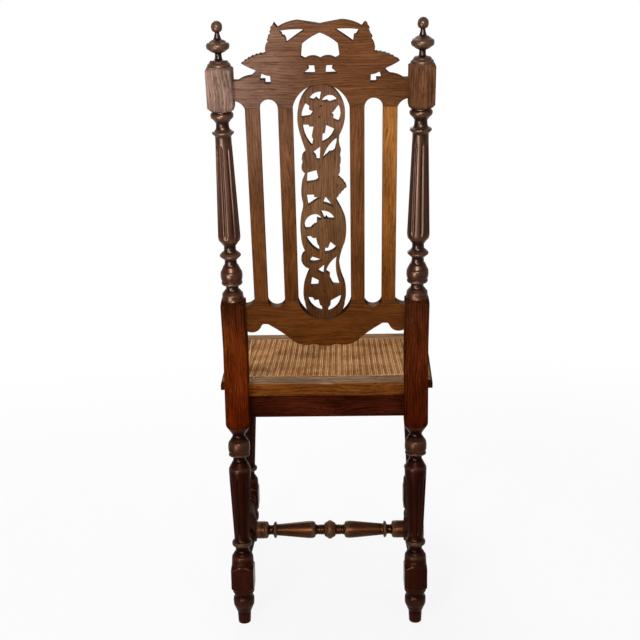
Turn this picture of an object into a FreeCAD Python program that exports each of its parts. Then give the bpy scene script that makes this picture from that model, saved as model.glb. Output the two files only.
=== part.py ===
import FreeCAD, Part
import math
import os

# A turned and pierced oak hall chair. Millimetres, +Z up, the sitter faces -Y and +X is the sitter's left.
# It is drawn about the rear leg axis at Y = 0 and moved at the end to the bottom centre of its box.

Vector = FreeCAD.Vector

# Legs and posts, all from one square stock
stockSize = 40.0            # side of the square stock
postSpacing = 318.0         # between the axes of the rear posts
frontSpacing = 368.0        # between the axes of the front legs
legDepth = 408.0            # from the rear leg axis to the front leg axis
footHeight = 66.0           # floor to the lower block
lowerBlockHeight = 47.0     # block that takes the stretchers
legTurningHeight = 264.0    # turned part between lower block and seat block
frontBlockHeight = 57.0     # block at the top of a front leg
seatBlockDrop = 153.0       # seat block of a post below its bend
seatBlockRise = 81.0        # seat block of a post above its bend
backTurningHeight = 330.5   # turned part of the back
upperBlockHeight = 69.0     # block that takes the crest rail
finialHeight = 69.0         # turned finial
backRake = 13.0             # degrees that the back leans
pommelLength = 8.0          # turned shoulder at each end of a block

# Boards of the back, in the raked plane of the posts
railThickness = 20.0        # crest rail and lower rail
slatThickness = 12.0
slatWidth = 23.5
splatThickness = 14.0
splatGap = 7.0              # clear of the inner slats
boardSetback = 2.0          # slats and splat behind the rear face of the rails
crestHeight = 132.5         # slat shoulder to the top of the vine
crestRise = 4.0             # slat shoulder above the bottom of the upper block
crestArchRise = 36.5        # arch over the splat
slatArchRise = 14.0         # small arch between two slats
lowerRailHeight = 85.0      # slat shoulder down to the lowest point
lowerRailRise = 3.0         # slat shoulder above the top of the seat block
splatSeatDepth = 34.5       # hollow that takes the foot of the splat
slatDipDepth = 11.0         # small dip between two slats

# Tenons, tongues and their mortises
tenonLength = 18.0
tenonThickness = 9.0
tenonShoulder = 4.0         # above and below a tenon
tongueLength = 9.0
tongueThickness = 6.0
tongueShoulder = 3.0        # at each edge of a slat tongue
splatTongueWidth = 16.0
roundTenonRadius = 8.0      # stretcher tenons
fitClearance = 0.1          # mortise walls around a tenon

# Seat
apronDepth = 39.0           # height of the seat rails
apronThickness = 18.0
apronSetback = 2.0          # seat rails behind the outer faces of the legs
seatThickness = 23.0
seatSideOverhang = 12.0     # moulded frame past the outer leg faces
seatFrontOverhang = 14.0
seatRearReach = 19.0        # rear member in between the posts
seatFrontWidth = 55.0       # visible width of each member beside the cane
seatRearWidth = 53.0
seatSideWidth = 50.0
caneLedge = 12.0            # rebate under the edge of the cane
caneThickness = 2.5
mouldSetback = 8.0          # fillet under the moulded edge
mouldFillet = 7.0           # height of that fillet
mouldInset = 4.5            # top edge in from the widest line
mouldLip = 5.0              # widest line above the fillet
seatTongueLength = 14.0
seatTongueThickness = 8.0
cornerBlockSize = 46.0      # glue blocks inside the seat rails
cornerBlockHeight = 30.0

# Stretchers
stretcherRadius = 18.8      # largest turned radius
stretcherBlockSize = 40.0   # square block in the middle of a side stretcher
stretcherBlockLength = 48.0
stretcherRise = 5.0         # stretcher axis above the middle of the lower block

# Turnings: the lathe forms are drawn in narrow flats, and every second edge of a column is hollowed
latheSides = 16
arcTurn = 40.0              # degrees of a profile's arc that one flat takes
meetingGap = 1e-6           # corners nearer than this are one corner
cornerShare = 1.46          # lathe radius over a block, past the stock's corners
blockEndShare = 0.985       # lathe radius where a turning meets a block
overrun = 3.0               # cuts pass their faces by this

# Turned profiles: rows of (height share, radius share), with the flutes' depth as a share of the radius
# where a column has them. One point is a straight run, two are an arc.
footShares = [
    [(0.0, 0.38)], [(0.06, 0.53)], [(0.33, 0.58)], [(0.52, 0.82)],
    [(0.70, 0.945), (0.87, 0.82)], [(0.95, 0.82)],
]
legShares = [
    [(0.076, 0.91), (0.109, 0.62)], [(0.134, 0.60)], [(0.158, 0.88)], [(0.173, 0.88)],
    [(0.195, 0.66)], [(0.195, 0.66, 0.15)], [(0.655, 0.91, 0.15)], [(0.655, 0.91)], [(0.68, 0.925)],
    [(0.735, 0.85), (0.756, 0.65)], [(0.771, 0.54)], [(0.807, 0.92)], [(0.817, 0.88)],
    [(0.862, 0.965), (0.919, 0.68)], [(0.945, 0.545)], [(1.0, 0.985)],
]
backShares = [
    [(0.030, 0.965), (0.048, 0.87)], [(0.081, 0.57)], [(0.101, 0.885)],
    [(0.111, 0.85)], [(0.149, 0.98), (0.181, 0.82)], [(0.216, 0.56)], [(0.254, 0.86)],
    [(0.266, 0.86)], [(0.299, 0.535)], [(0.337, 0.86), (0.374, 0.98)],
    [(0.374, 0.98, 0.15)], [(0.845, 0.707, 0.15)], [(0.845, 0.707)], [(0.865, 0.695)],
    [(0.893, 0.935)], [(0.907, 0.72)], [(0.933, 0.53)], [(0.953, 0.72)], [(0.976, 0.92), (0.994, 0.82)],
]
finialShares = [
    [(0.11, 0.72)], [(0.24, 0.295)], [(0.325, 0.50)], [(0.44, 0.92)],
    [(0.466, 0.92)], [(0.585, 0.475)], [(0.728, 0.20)], [(0.775, 0.34)], [(0.88, 0.435), (1.0, 0.08)],
]
sideStretcherShares = [
    [(0.13, 0.78)], [(0.19, 0.48)], [(0.225, 0.58)], [(0.245, 0.80)], [(0.265, 0.58)],
    [(0.80, 0.93)], [(0.88, 0.84), (0.93, 0.55)], [(1.0, 1.0)],
]
crossStretcherShares = [
    [(0.14, 0.93)], [(0.20, 0.50)], [(0.24, 0.60)], [(0.262, 0.90)], [(0.285, 0.61)],
    [(0.735, 0.94)], [(0.80, 0.80), (0.85, 0.47)], [(0.912, 0.707), (1.0, 1.0)],
]
stretcherEndShares = (0.78, 0.93)

# Outlines of the back, as shares of (half width, height). A row of one point is a straight run, and each
# pair of points in a row is an arc through the first of them.
outerSlatShare = 0.788
innerSlatShare = 0.41
crestTopShares = [
    [(0.935, 0.328)], [(0.865, 0.364), (0.784, 0.381)], [(0.755, 0.404), (0.727, 0.449)],
    [(0.813, 0.487), (0.888, 0.532)], [(0.785, 0.602), (0.604, 0.645)], [(0.612, 0.70), (0.585, 0.77)],
    [(0.586, 0.81), (0.557, 0.86)], [(0.555, 0.90), (0.507, 0.981)], [(0.468, 0.928)],
    [(0.374, 0.974), (0.245, 1.0), (0.101, 0.977), (0.0, 0.958)],
]
crestEarShares = (0.075, 0.095, 0.328)
crestPairShares = [
    [[(0.302, 0.906), (0.165, 0.902)], [(0.27, 0.832), (0.371, 0.758)], [(0.381, 0.832)],
     [(0.406, 0.838)], [(0.439, 0.894)]],
    [[(0.068, 0.494)], [(0.058, 0.396)], [(0.201, 0.40)], [(0.129, 0.457)], [(0.151, 0.494)]],
    [[(0.619, 0.389)], [(0.568, 0.381)], [(0.561, 0.291)], [(0.629, 0.291)], [(0.629, 0.336)],
     [(0.687, 0.336)], [(0.662, 0.411)]],
]
crestCentreShares = [
    [(0.10, 0.815), (0.198, 0.743)], [(0.209, 0.66)], [(0.216, 0.592)], [(0.169, 0.566)],
    [(0.09, 0.594), (0.0, 0.566)],
]
crestCentreTopShare = 0.864
lowerBottomShares = [
    [(0.905, 0.325), (0.802, 0.453)], [(0.781, 0.506)], [(0.723, 0.506)],
    [(0.565, 0.341), (0.406, 0.124), (0.223, 0.024), (0.137, 0.051)],
]
lowerEarShares = (0.92, 0.90, 0.37)
splatOutlineShares = [
    [(-0.16, 0.9985), (-0.33, 0.9945), (-0.48, 0.986), (-0.64, 0.972), (-0.86, 0.94), (-0.99, 0.893),
     (-0.94, 0.845), (-0.75, 0.80)],
    [(-0.73, 0.765), (-0.80, 0.735)], [(-0.75, 0.713)], [(-0.79, 0.692), (-0.72, 0.674)],
    [(-0.76, 0.656), (-0.64, 0.632)], [(-0.87, 0.612), (-1.04, 0.585)], [(-0.80, 0.562), (-0.57, 0.531)],
    [(-0.80, 0.49), (-0.95, 0.452), (-1.0, 0.405), (-0.92, 0.348), (-0.76, 0.305), (-0.67, 0.262),
     (-0.74, 0.215), (-0.88, 0.175), (-0.96, 0.125), (-0.90, 0.08), (-0.70, 0.03), (-0.40, 0.0095),
     (-0.20, 0.0025), (0.0, 0.0), (0.20, 0.0025), (0.40, 0.0095), (0.70, 0.03), (0.88, 0.075),
     (0.95, 0.115), (0.90, 0.165), (0.78, 0.20), (0.62, 0.232)],
    [(0.85, 0.243), (0.97, 0.26), (0.97, 0.29), (0.80, 0.306)],
    [(0.93, 0.34), (0.99, 0.385), (1.0, 0.43), (0.95, 0.468), (0.88, 0.495), (0.86, 0.52), (0.92, 0.575),
     (0.87, 0.61)],
    [(0.72, 0.644)], [(0.88, 0.665), (0.80, 0.688)], [(0.85, 0.712), (0.67, 0.733)],
    [(0.80, 0.77), (0.92, 0.81), (1.0, 0.86), (0.96, 0.905), (0.82, 0.947), (0.62, 0.975), (0.48, 0.986),
     (0.33, 0.9945), (0.16, 0.9985), (0.0, 1.0)],
]
splatHoleShares = [
    [[(0.25, 0.966), (-0.01, 0.97)], [(0.07, 0.935)], [(0.20, 0.947)], [(0.30, 0.938)], [(0.49, 0.943)]],
    [[(-0.36, 0.957), (-0.03, 0.931)], [(-0.25, 0.935)], [(-0.33, 0.928)], [(-0.67, 0.937)]],
    [[(0.49, 0.916)], [(0.51, 0.902)], [(0.33, 0.893)], [(0.46, 0.875)], [(0.83, 0.871)],
     [(0.77, 0.90), (0.64, 0.926)]],
    [[(-0.80, 0.885), (-0.72, 0.852)], [(-0.49, 0.861)], [(-0.51, 0.876)], [(-0.36, 0.884)],
     [(-0.51, 0.892)], [(-0.72, 0.918)]],
    [[(0.54, 0.842)], [(0.51, 0.834)], [(0.33, 0.834)], [(0.41, 0.795)], [(0.36, 0.782)],
     [(0.41, 0.757)], [(0.62, 0.785), (0.78, 0.842)]],
    [[(-0.54, 0.824)], [(-0.35, 0.79), (-0.02, 0.77)], [(-0.04, 0.805)], [(-0.14, 0.808)],
     [(-0.20, 0.839)]],
    [[(0.10, 0.699)], [(0.24, 0.699)], [(0.30, 0.72), (0.42, 0.728)], [(0.07, 0.753)]],
    [[(-0.57, 0.75), (-0.46, 0.731)], [(-0.28, 0.728)], [(-0.04, 0.708)], [(-0.28, 0.755), (-0.62, 0.787)]],
    [[(0.25, 0.657)], [(0.17, 0.622)], [(0.33, 0.61)], [(0.67, 0.605)], [(0.64, 0.647)]],
    [[(0.38, 0.555)], [(0.38, 0.545)], [(0.09, 0.543)], [(0.35, 0.528), (0.64, 0.509)], [(0.70, 0.555)]],
    [[(-0.49, 0.499)], [(-0.22, 0.512), (0.01, 0.518)], [(-0.12, 0.546)]],
    [[(0.70, 0.455), (0.33, 0.472)], [(0.17, 0.466), (0.07, 0.446)], [(0.28, 0.452)], [(0.28, 0.427)],
     [(0.43, 0.422)], [(0.54, 0.409)], [(0.78, 0.407)]],
    [[(-0.28, 0.478), (-0.51, 0.447)], [(-0.20, 0.449)], [(-0.14, 0.459)], [(-0.06, 0.449)],
     [(0.12, 0.486)]],
    [[(0.57, 0.378)], [(0.46, 0.368)], [(0.33, 0.37)], [(0.28, 0.345)], [(0.20, 0.331)], [(0.20, 0.309)],
     [(0.53, 0.335), (0.78, 0.375)]],
    [[(-0.57, 0.328)], [(-0.35, 0.308), (-0.04, 0.301)], [(-0.07, 0.326)], [(-0.19, 0.324)],
     [(-0.30, 0.351)]],
    [[(0.51, 0.287)], [(0.07, 0.271)], [(0.35, 0.26), (0.67, 0.264)]],
    [[(0.04, 0.205)], [(0.33, 0.222)], [(-0.01, 0.25)]],
    [[(-0.52, 0.24), (-0.59, 0.193)], [(-0.70, 0.155)], [(-0.38, 0.158)], [(-0.25, 0.185)],
     [(-0.25, 0.205)], [(-0.07, 0.217)], [(-0.33, 0.265), (-0.59, 0.287)]],
    [[(0.25, 0.18)], [(0.28, 0.153)], [(0.62, 0.152)], [(0.54, 0.195)]],
    [[(0.54, 0.102)], [(0.46, 0.089)], [(0.28, 0.092)], [(0.22, 0.067)], [(0.14, 0.06)], [(0.09, 0.034)],
     [(0.52, 0.055), (0.75, 0.104)]],
    [[(-0.58, 0.06), (-0.12, 0.03)], [(-0.17, 0.055)], [(-0.25, 0.065)], [(-0.28, 0.087)],
     [(-0.41, 0.094)], [(-0.72, 0.111)]],
]

# Places that follow from the sizes
stockHalf = stockSize / 2
postX = postSpacing / 2
frontX = frontSpacing / 2
clearHalf = postX - stockHalf
frontClear = frontX - stockHalf
rearFace = -stockHalf
frontFace = stockHalf - legDepth
lowerBlockTop = footHeight + lowerBlockHeight
legTop = lowerBlockTop + legTurningHeight
seatUnder = legTop + frontBlockHeight
seatTop = seatUnder + seatThickness
apronBottom = seatUnder - apronDepth
bendHeight = legTop + seatBlockDrop
backTop = seatBlockRise + backTurningHeight
finialBase = backTop + upperBlockHeight
stretcherHeight = footHeight + lowerBlockHeight / 2 + stretcherRise
slantAngle = math.atan2(frontX - postX, legDepth)

crestShoulder = bendHeight + backTop + crestRise
lowerShoulder = bendHeight + seatBlockRise + lowerRailRise
lowerBottom = lowerShoulder - lowerRailHeight
slatPlaces = {"outer": clearHalf * outerSlatShare, "inner": clearHalf * innerSlatShare}
innerEdges = [slatPlaces["inner"] - slatWidth / 2, slatPlaces["inner"] + slatWidth / 2]
outerEdges = [slatPlaces["outer"] - slatWidth / 2, slatPlaces["outer"] + slatWidth / 2]
splatHalf = innerEdges[0] - splatGap
splatBottom = lowerShoulder - splatSeatDepth
splatTop = crestShoulder + crestArchRise
boardRear = railThickness / 2 - boardSetback


def box(low, high):
    return Part.makeBox(high.x - low.x, high.y - low.y, high.z - low.z, low)


def grown(low, high, clearance):
    # A box with a clearance on every side
    margin = Vector(clearance, clearance, clearance)
    return box(low - margin, high + margin)


def mirrored(shape):
    return shape.mirror(Vector(0, 0, 0), Vector(1, 0, 0))


def raked(shape):
    # The back leans rearward about the bend of the posts
    leaning = shape.copy()
    leaning.rotate(Vector(0, 0, bendHeight), Vector(1, 0, 0), -backRake)
    return leaning


def edgesAlong(here, runs):
    # Each run goes on from the last point: a line to one point, or an arc through each pair of points
    edges = []
    for run in runs:
        if len(run) == 1:
            edges.append(Part.makeLine(here, run[0]))
            here = run[0]
        for through, end in zip(run[0::2], run[1::2]):
            edges.append(Part.Arc(here, through, end).toShape())
            here = end
    return edges


def wireOf(edges):
    return Part.Wire(Part.__sortEdges__(edges))


def turned(shares, base, length, radius):
    # Rows of shares become profile points: x is the radius, y the depth of its flutes and z the height
    return [[profilePoint(base, length, radius, *point) for point in row] for row in shares]


def profilePoint(base, length, radius, heightShare, radiusShare, fluteShare=0):
    return Vector(radius * radiusShare, radius * radiusShare * fluteShare, base + length * heightShare)


def blockRows(base, length):
    # A square block keeps the stock's corners between two turned shoulders
    return [
        [Vector(stockHalf * cornerShare, 0, base + pommelLength)],
        [Vector(stockHalf * cornerShare, 0, base + length - pommelLength)],
        [Vector(stockHalf * blockEndShare, 0, base + length)],
    ]


def lathe(rows):
    # A half profile taken round Z in narrow flats, with the arcs of the profile in short steps
    stations = [rows[0][0]]
    for edge in edgesAlong(rows[0][0], rows[1:]):
        stations += edge.discretize(Number=flatsAlong(edge) + 1)[1:]
    sections = [latheSection(station) for station in stations]
    faces = [flat(sections[0]), flat(sections[-1])]
    for low, high in zip(sections, sections[1:]):
        for side in range(latheSides):
            after = (side + 1) % latheSides
            faces.append(flat([low[side], low[after], high[after], high[side]]))
    return Part.Solid(Part.Shell(faces))


def flatsAlong(edge):
    if edge.Curve.TypeId != "Part::GeomCircle":
        return 1
    turn = math.degrees(edge.Length / edge.Curve.Radius)
    return max(1, round(turn / arcTurn))


def latheSection(station):
    # A flat faces each side of the stock, and every second corner drops by the depth of the flutes
    corners = []
    for index in range(latheSides):
        angle = 2 * math.pi * (index + 0.5) / latheSides
        radius = station.x - station.y * (index % 2)
        corners.append(Vector(radius * math.cos(angle), radius * math.sin(angle), station.z))
    return corners


def flat(corners):
    # A flat face on three or more corners, where neighbours that meet count once
    before = corners[-1:] + corners[:-1]
    kept = [point for point, last in zip(corners, before) if not point.isEqual(last, meetingGap)]
    return Part.Face(Part.makePolygon(kept + kept[:1]))


def legRows():
    # Foot, lower block and turned leg, alike on all four legs
    rows = turned(footShares, 0, footHeight, stockHalf)
    rows += blockRows(footHeight, lowerBlockHeight)
    rows += turned(legShares, lowerBlockTop, legTurningHeight, stockHalf)
    return rows


def roundTenon(clearance, low, high):
    radius = roundTenonRadius + clearance
    return lathe([[Vector(radius, 0, low)], [Vector(radius, 0, high)]])


def sideAxis(shape):
    # From the Z axis to the line of the left side stretcher, which starts on the rear post
    placed = shape.copy()
    placed.rotate(Vector(0, 0, 0), Vector(1, 0, 0), 90)
    placed.rotate(Vector(0, 0, 0), Vector(0, 0, 1), math.degrees(slantAngle))
    placed.translate(Vector(postX + stockHalf * math.tan(slantAngle), rearFace, stretcherHeight))
    return placed


def sideLength():
    return (rearFace - frontFace) / math.cos(slantAngle)


def sideTenons(clearance):
    length = tenonLength + clearance
    rear = roundTenon(clearance, -length, overrun)
    front = roundTenon(clearance, sideLength() - overrun, sideLength() + length)
    return [sideAxis(rear), sideAxis(front)]


def crossTenon(clearance):
    # Along X into the block of the left side stretcher
    return acrossAxis(roundTenon(clearance, crossFace() - overrun, crossFace() + tenonLength + clearance))


def acrossAxis(shape):
    # From the Z axis to the line of the cross stretcher
    placed = shape.copy()
    placed.rotate(Vector(0, 0, 0), Vector(0, 1, 0), 90)
    placed.translate(Vector(0, crossPlace(), stretcherHeight))
    return placed


def crossPlace():
    return (rearFace + frontFace) / 2


def crossFace():
    # Inner face of the side stretcher's block at the cross stretcher's axis
    return (postX + frontX) / 2 - stretcherBlockSize / 2 / math.cos(slantAngle)


def railTenon(low, high, clearance):
    # Tenon of the crest or lower rail into the left post, in the upright frame of the back
    thick = tenonThickness / 2
    corner = Vector(clearHalf - clearance, -thick, low + tenonShoulder)
    return grown(corner, Vector(clearHalf + tenonLength, thick, high - tenonShoulder), clearance)


def crestTenon(clearance):
    low = crestShoulder + crestHeight * crestEarShares[1]
    high = crestShoulder + crestHeight * crestEarShares[2]
    return railTenon(low, high, clearance)


def lowerTenon(clearance):
    low = lowerBottom + lowerRailHeight * lowerEarShares[2]
    high = lowerBottom + lowerRailHeight * lowerEarShares[1]
    return railTenon(low, high, clearance)


def apronTenonLow():
    return apronBottom + tenonShoulder


def apronTenonHigh():
    return seatUnder - tenonShoulder


def rearApronTenon(clearance):
    middle = rearFace + apronThickness / 2
    low = Vector(clearHalf - clearance, middle - tenonThickness / 2, apronTenonLow())
    high = Vector(clearHalf + tenonLength, middle + tenonThickness / 2, apronTenonHigh())
    return grown(low, high, clearance)


def frontApronY():
    # Middle of the front seat rail
    return -legDepth - stockHalf + apronSetback + apronThickness / 2


def frontApronTenon(clearance):
    low = Vector(frontClear - clearance, frontApronY() - tenonThickness / 2, apronTenonLow())
    high = Vector(frontClear + tenonLength, frontApronY() + tenonThickness / 2, apronTenonHigh())
    return grown(low, high, clearance)


def sideApronX(y):
    # Outer face of the left side rail, which splays towards the front
    share = (rearFace - y) / legDepth
    return postX + stockHalf - apronSetback + (frontX - postX) * share


def sideStrip(inner, outer, rearY, frontY, low, high):
    # An upright strip that follows the splay, between two distances in from the rail's outer face
    corners = [
        Vector(sideApronX(rearY) - outer, rearY, low),
        Vector(sideApronX(frontY) - outer, frontY, low),
        Vector(sideApronX(frontY) - inner, frontY, low),
        Vector(sideApronX(rearY) - inner, rearY, low),
    ]
    return prism(corners, high - low)


def prism(corners, height):
    return Part.Face(Part.makePolygon(corners + corners[:1])).extrude(Vector(0, 0, height))


def sideApronTenons(clearance):
    outer = (apronThickness - tenonThickness) / 2 - clearance
    inner = (apronThickness + tenonThickness) / 2 + clearance
    low = apronTenonLow() - clearance
    high = apronTenonHigh() + clearance
    reach = tenonLength + clearance
    rear = sideStrip(inner, outer, rearFace + reach, rearFace, low, high)
    front = sideStrip(inner, outer, frontFace, frontFace - reach, low, high)
    return [rear, front]


def rearPost():
    # Left rear post: turned leg, bent seat block, turned back, upper block and finial
    mitre = stockHalf * math.tan(math.radians(backRake) / 2)
    rows = legRows()
    rows += blockRows(legTop, seatBlockDrop + stockSize)
    lower = postHalf(rows, 0, 0, bendHeight - mitre, bendHeight + mitre)

    rows = [[Vector(stockHalf * cornerShare, 0, bendHeight - stockSize)]]
    rows += blockRows(bendHeight, seatBlockRise)[1:]
    rows += turned(backShares, bendHeight + seatBlockRise, backTurningHeight, stockHalf)
    rows += blockRows(bendHeight + backTop, upperBlockHeight)
    rows += turned(finialShares, bendHeight + finialBase, finialHeight, stockHalf)
    top = bendHeight + finialBase + finialHeight + overrun
    upper = postHalf(rows, bendHeight + mitre, bendHeight - mitre, top, top)

    post = lower.fuse(raked(upper)).removeSplitter()
    post.translate(Vector(postX, 0, 0))
    mortises = [raked(crestTenon(fitClearance)), raked(lowerTenon(fitClearance))]
    mortises += [rearApronTenon(fitClearance), sideApronTenons(fitClearance)[0]]
    mortises.append(sideTenons(fitClearance)[0])
    return post.cut(mortises)


def postHalf(rows, lowRear, lowFront, highRear, highFront):
    # Square stock with sloping ends, turned where the lathe profile is inside it
    side = [
        Vector(-stockHalf, stockHalf, lowRear),
        Vector(-stockHalf, stockHalf, highRear),
        Vector(-stockHalf, -stockHalf, highFront),
        Vector(-stockHalf, -stockHalf, lowFront),
    ]
    stock = Part.Face(Part.makePolygon(side + side[:1])).extrude(Vector(stockSize, 0, 0))
    return stock.common(lathe(rows))


def frontLeg():
    # Left front leg: the same turning, ending in a block under the seat
    rows = legRows()
    rows += blockRows(legTop, frontBlockHeight + stockSize)
    leg = postHalf(rows, 0, 0, seatUnder, seatUnder)
    leg.translate(Vector(frontX, -legDepth, 0))
    mortises = [frontApronTenon(fitClearance), sideApronTenons(fitClearance)[1]]
    mortises.append(sideTenons(fitClearance)[1])
    return leg.cut(mortises)


def scaled(runs, half, base, height):
    # Rows of (half width share, height share) become points in the upright plane of the back
    return [[Vector(half * x, 0, base + height * v) for x, v in run] for run in runs]


def loop(runs):
    # A closed outline starts where its last run ends
    return wireOf(edgesAlong(runs[-1][-1], runs))


def board(wires, thickness, rear):
    # A flat board with its openings, whose rear face lies at the given Y
    face = Part.makeFace(wires, "Part::FaceMakerBullseye")
    face.translate(Vector(0, rear - thickness, 0))
    return face.extrude(Vector(0, thickness, 0))


def halves(edges):
    # Left half edges and their mirror images
    return edges + [mirrored(edge) for edge in edges]


def shoulderRows(level, between, ear, earEnd):
    # Shoulders of the two left slats, the curve between them and the curve out to the post
    middle = (innerEdges[1] + outerEdges[0]) / 2
    return [
        [Vector(innerEdges[1], 0, level)],
        [Vector(middle, 0, between), Vector(outerEdges[0], 0, level)],
        [Vector(outerEdges[1], 0, level)],
        [Vector((outerEdges[1] + clearHalf) / 2, 0, ear), Vector(clearHalf, 0, earEnd)],
    ]


def slatMortises():
    places = [slatPlaces["outer"], slatPlaces["inner"], -slatPlaces["inner"], -slatPlaces["outer"]]
    return [mortise for place in places for mortise in slatTongues(place, fitClearance)]


def slatTongues(place, clearance):
    # Tongues at the foot and the head of one slat
    half = slatWidth / 2 - tongueShoulder
    middle = boardRear - slatThickness / 2
    foot = tongue(place, half, middle, lowerShoulder - tongueLength, lowerShoulder)
    head = tongue(place, half, middle, crestShoulder, crestShoulder + tongueLength)
    return [grown(*foot, clearance), grown(*head, clearance)]


def tongue(place, half, middle, low, high):
    # Opposite corners of a tongue about a place along the rail and a middle of its thickness
    thick = tongueThickness / 2
    return Vector(place - half, middle - thick, low), Vector(place + half, middle + thick, high)


def splatTongues(clearance):
    half = splatTongueWidth / 2
    middle = boardRear - splatThickness / 2
    foot = tongue(0, half, middle, splatBottom - tongueLength, splatBottom + overrun)
    head = tongue(0, half, middle, splatTop - overrun, splatTop + tongueLength)
    return [grown(*foot, clearance), grown(*head, clearance)]


def crestRail():
    start = Vector(innerEdges[0], 0, crestShoulder)
    ears = [crestShoulder + crestHeight * share for share in crestEarShares]
    rows = shoulderRows(crestShoulder, crestShoulder + slatArchRise, ears[0], ears[1])
    rows += [[Vector(clearHalf, 0, ears[2])]]
    rows += scaled(crestTopShares, clearHalf, crestShoulder, crestHeight)
    edges = halves(edgesAlong(start, rows))
    edges.append(Part.Arc(start, Vector(0, 0, splatTop), Vector(-start.x, 0, start.z)).toShape())
    wires = [wireOf(edges)]
    for runs in crestPairShares:
        opening = loop(scaled(runs, clearHalf, crestShoulder, crestHeight))
        wires += [opening, mirrored(opening)]
    centre = Vector(0, 0, crestShoulder + crestHeight * crestCentreTopShare)
    opening = edgesAlong(centre, scaled(crestCentreShares, clearHalf, crestShoulder, crestHeight))
    wires.append(wireOf(halves(opening)))
    rail = board(wires, railThickness, railThickness / 2)
    rail = rail.cut(slatMortises() + splatTongues(fitClearance))
    return raked(rail.fuse([crestTenon(0), mirrored(crestTenon(0))]).removeSplitter())


def lowerRail():
    start = Vector(innerEdges[0], 0, lowerShoulder)
    ears = [lowerBottom + lowerRailHeight * share for share in lowerEarShares]
    rows = shoulderRows(lowerShoulder, lowerShoulder - slatDipDepth, ears[0], ears[1])
    rows += [[Vector(clearHalf, 0, ears[2])]]
    rows += scaled(lowerBottomShares, clearHalf, lowerBottom, lowerRailHeight)
    edges = halves(edgesAlong(start, rows))
    edges.append(Part.Arc(start, Vector(0, 0, splatBottom), Vector(-start.x, 0, start.z)).toShape())
    cusp = rows[-1][-1]
    edges.append(Part.Arc(cusp, Vector(0, 0, lowerBottom), Vector(-cusp.x, 0, cusp.z)).toShape())
    rail = board([wireOf(edges)], railThickness, railThickness / 2)
    rail = rail.cut(slatMortises() + splatTongues(fitClearance))
    return raked(rail.fuse([lowerTenon(0), mirrored(lowerTenon(0))]).removeSplitter())


def slat(place):
    low = Vector(place - slatWidth / 2, boardRear - slatThickness, lowerShoulder)
    body = box(low, Vector(place + slatWidth / 2, boardRear, crestShoulder))
    return raked(body.fuse(slatTongues(place, 0)).removeSplitter())


def piercedSplat():
    # Vine stems that cross and open into three ovals, with leaves across the openings
    wires = [loop(scaled(splatOutlineShares, splatHalf, splatBottom, splatTop - splatBottom))]
    for runs in splatHoleShares:
        wires.append(loop(scaled(runs, splatHalf, splatBottom, splatTop - splatBottom)))
    splat = board(wires, splatThickness, boardRear)
    return raked(splat.fuse(splatTongues(0)).removeSplitter())


def rearSeatRail():
    high = Vector(clearHalf, rearFace + apronThickness, seatUnder)
    body = box(Vector(-clearHalf, rearFace, apronBottom), high)
    return body.fuse([rearApronTenon(0), mirrored(rearApronTenon(0))]).removeSplitter()


def frontSeatRail():
    low = Vector(-frontClear, frontApronY() - apronThickness / 2, apronBottom)
    body = box(low, Vector(frontClear, frontApronY() + apronThickness / 2, seatUnder))
    return body.fuse([frontApronTenon(0), mirrored(frontApronTenon(0))]).removeSplitter()


def sideSeatRail():
    body = sideStrip(apronThickness, 0, rearFace, frontFace, apronBottom, seatUnder)
    return body.fuse(sideApronTenons(0)).removeSplitter()


def seatX(y):
    # Widest line of the moulded edge on the left
    return sideApronX(y) + apronSetback + seatSideOverhang


def seatFront():
    return -legDepth - stockHalf - seatFrontOverhang


def caneFront():
    return seatFront() + seatFrontWidth


def caneRear():
    return rearFace + seatRearReach - seatRearWidth


def seatStrip(inner, outer, rearY, frontY, low, high):
    # A strip beside the left edge of the seat, between two distances in from its widest line
    shift = apronSetback + seatSideOverhang
    return sideStrip(inner - shift, outer - shift, rearY, frontY, low, high)


def mouldCutter(length):
    # Runs along Y with the widest line of the edge at X = 0 and the seat on the -X side
    lip = seatUnder + mouldFillet
    wide = lip + mouldLip
    top = seatTop
    corners = [
        Vector(overrun, 0, seatUnder - overrun),
        Vector(-mouldSetback, 0, seatUnder - overrun),
        Vector(-mouldSetback, 0, lip),
        Vector(0, 0, lip),
        Vector(0, 0, wide),
    ]
    turn = math.pi / 4
    middle = Vector(-mouldInset * (1 - math.cos(turn)), 0, wide + (top - wide) * math.sin(turn))
    edge = Vector(-mouldInset, 0, top)
    outside = [edge, Vector(-mouldInset, 0, top + overrun), Vector(overrun, 0, top + overrun), corners[0]]
    edges = list(Part.makePolygon(corners).Edges) + [Part.Arc(corners[-1], middle, edge).toShape()]
    edges += list(Part.makePolygon(outside).Edges)
    return Part.Face(wireOf(edges)).extrude(Vector(0, -length, 0))


def moulded(solid):
    # The front and both sides of the seat carry one moulding, mitred at the corners
    length = legDepth + postSpacing
    side = mouldCutter(length)
    side.translate(Vector(0, overrun, 0))
    side.rotate(Vector(0, 0, 0), Vector(0, 0, 1), math.degrees(slantAngle))
    side.translate(Vector(seatX(rearFace), rearFace, 0))
    front = mouldCutter(length)
    front.translate(Vector(0, length / 2, 0))
    front.rotate(Vector(0, 0, 0), Vector(0, 0, 1), -90)
    front.translate(Vector(0, seatFront(), 0))
    return solid.cut([side, mirrored(side), front])


def caneSeat(clearance, low, high):
    # Plan of the cane panel, less a clearance at its edges
    front = caneFront() + clearance
    rear = caneRear() - clearance
    side = seatSideWidth + clearance
    corners = [
        Vector(seatX(rear) - side, rear, low),
        Vector(seatX(front) - side, front, low),
        Vector(side - seatX(front), front, low),
        Vector(side - seatX(rear), rear, low),
    ]
    return prism(corners, high - low)


def rebated(solid):
    return solid.cut(caneSeat(0, seatTop - caneThickness, seatTop + overrun))


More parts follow.
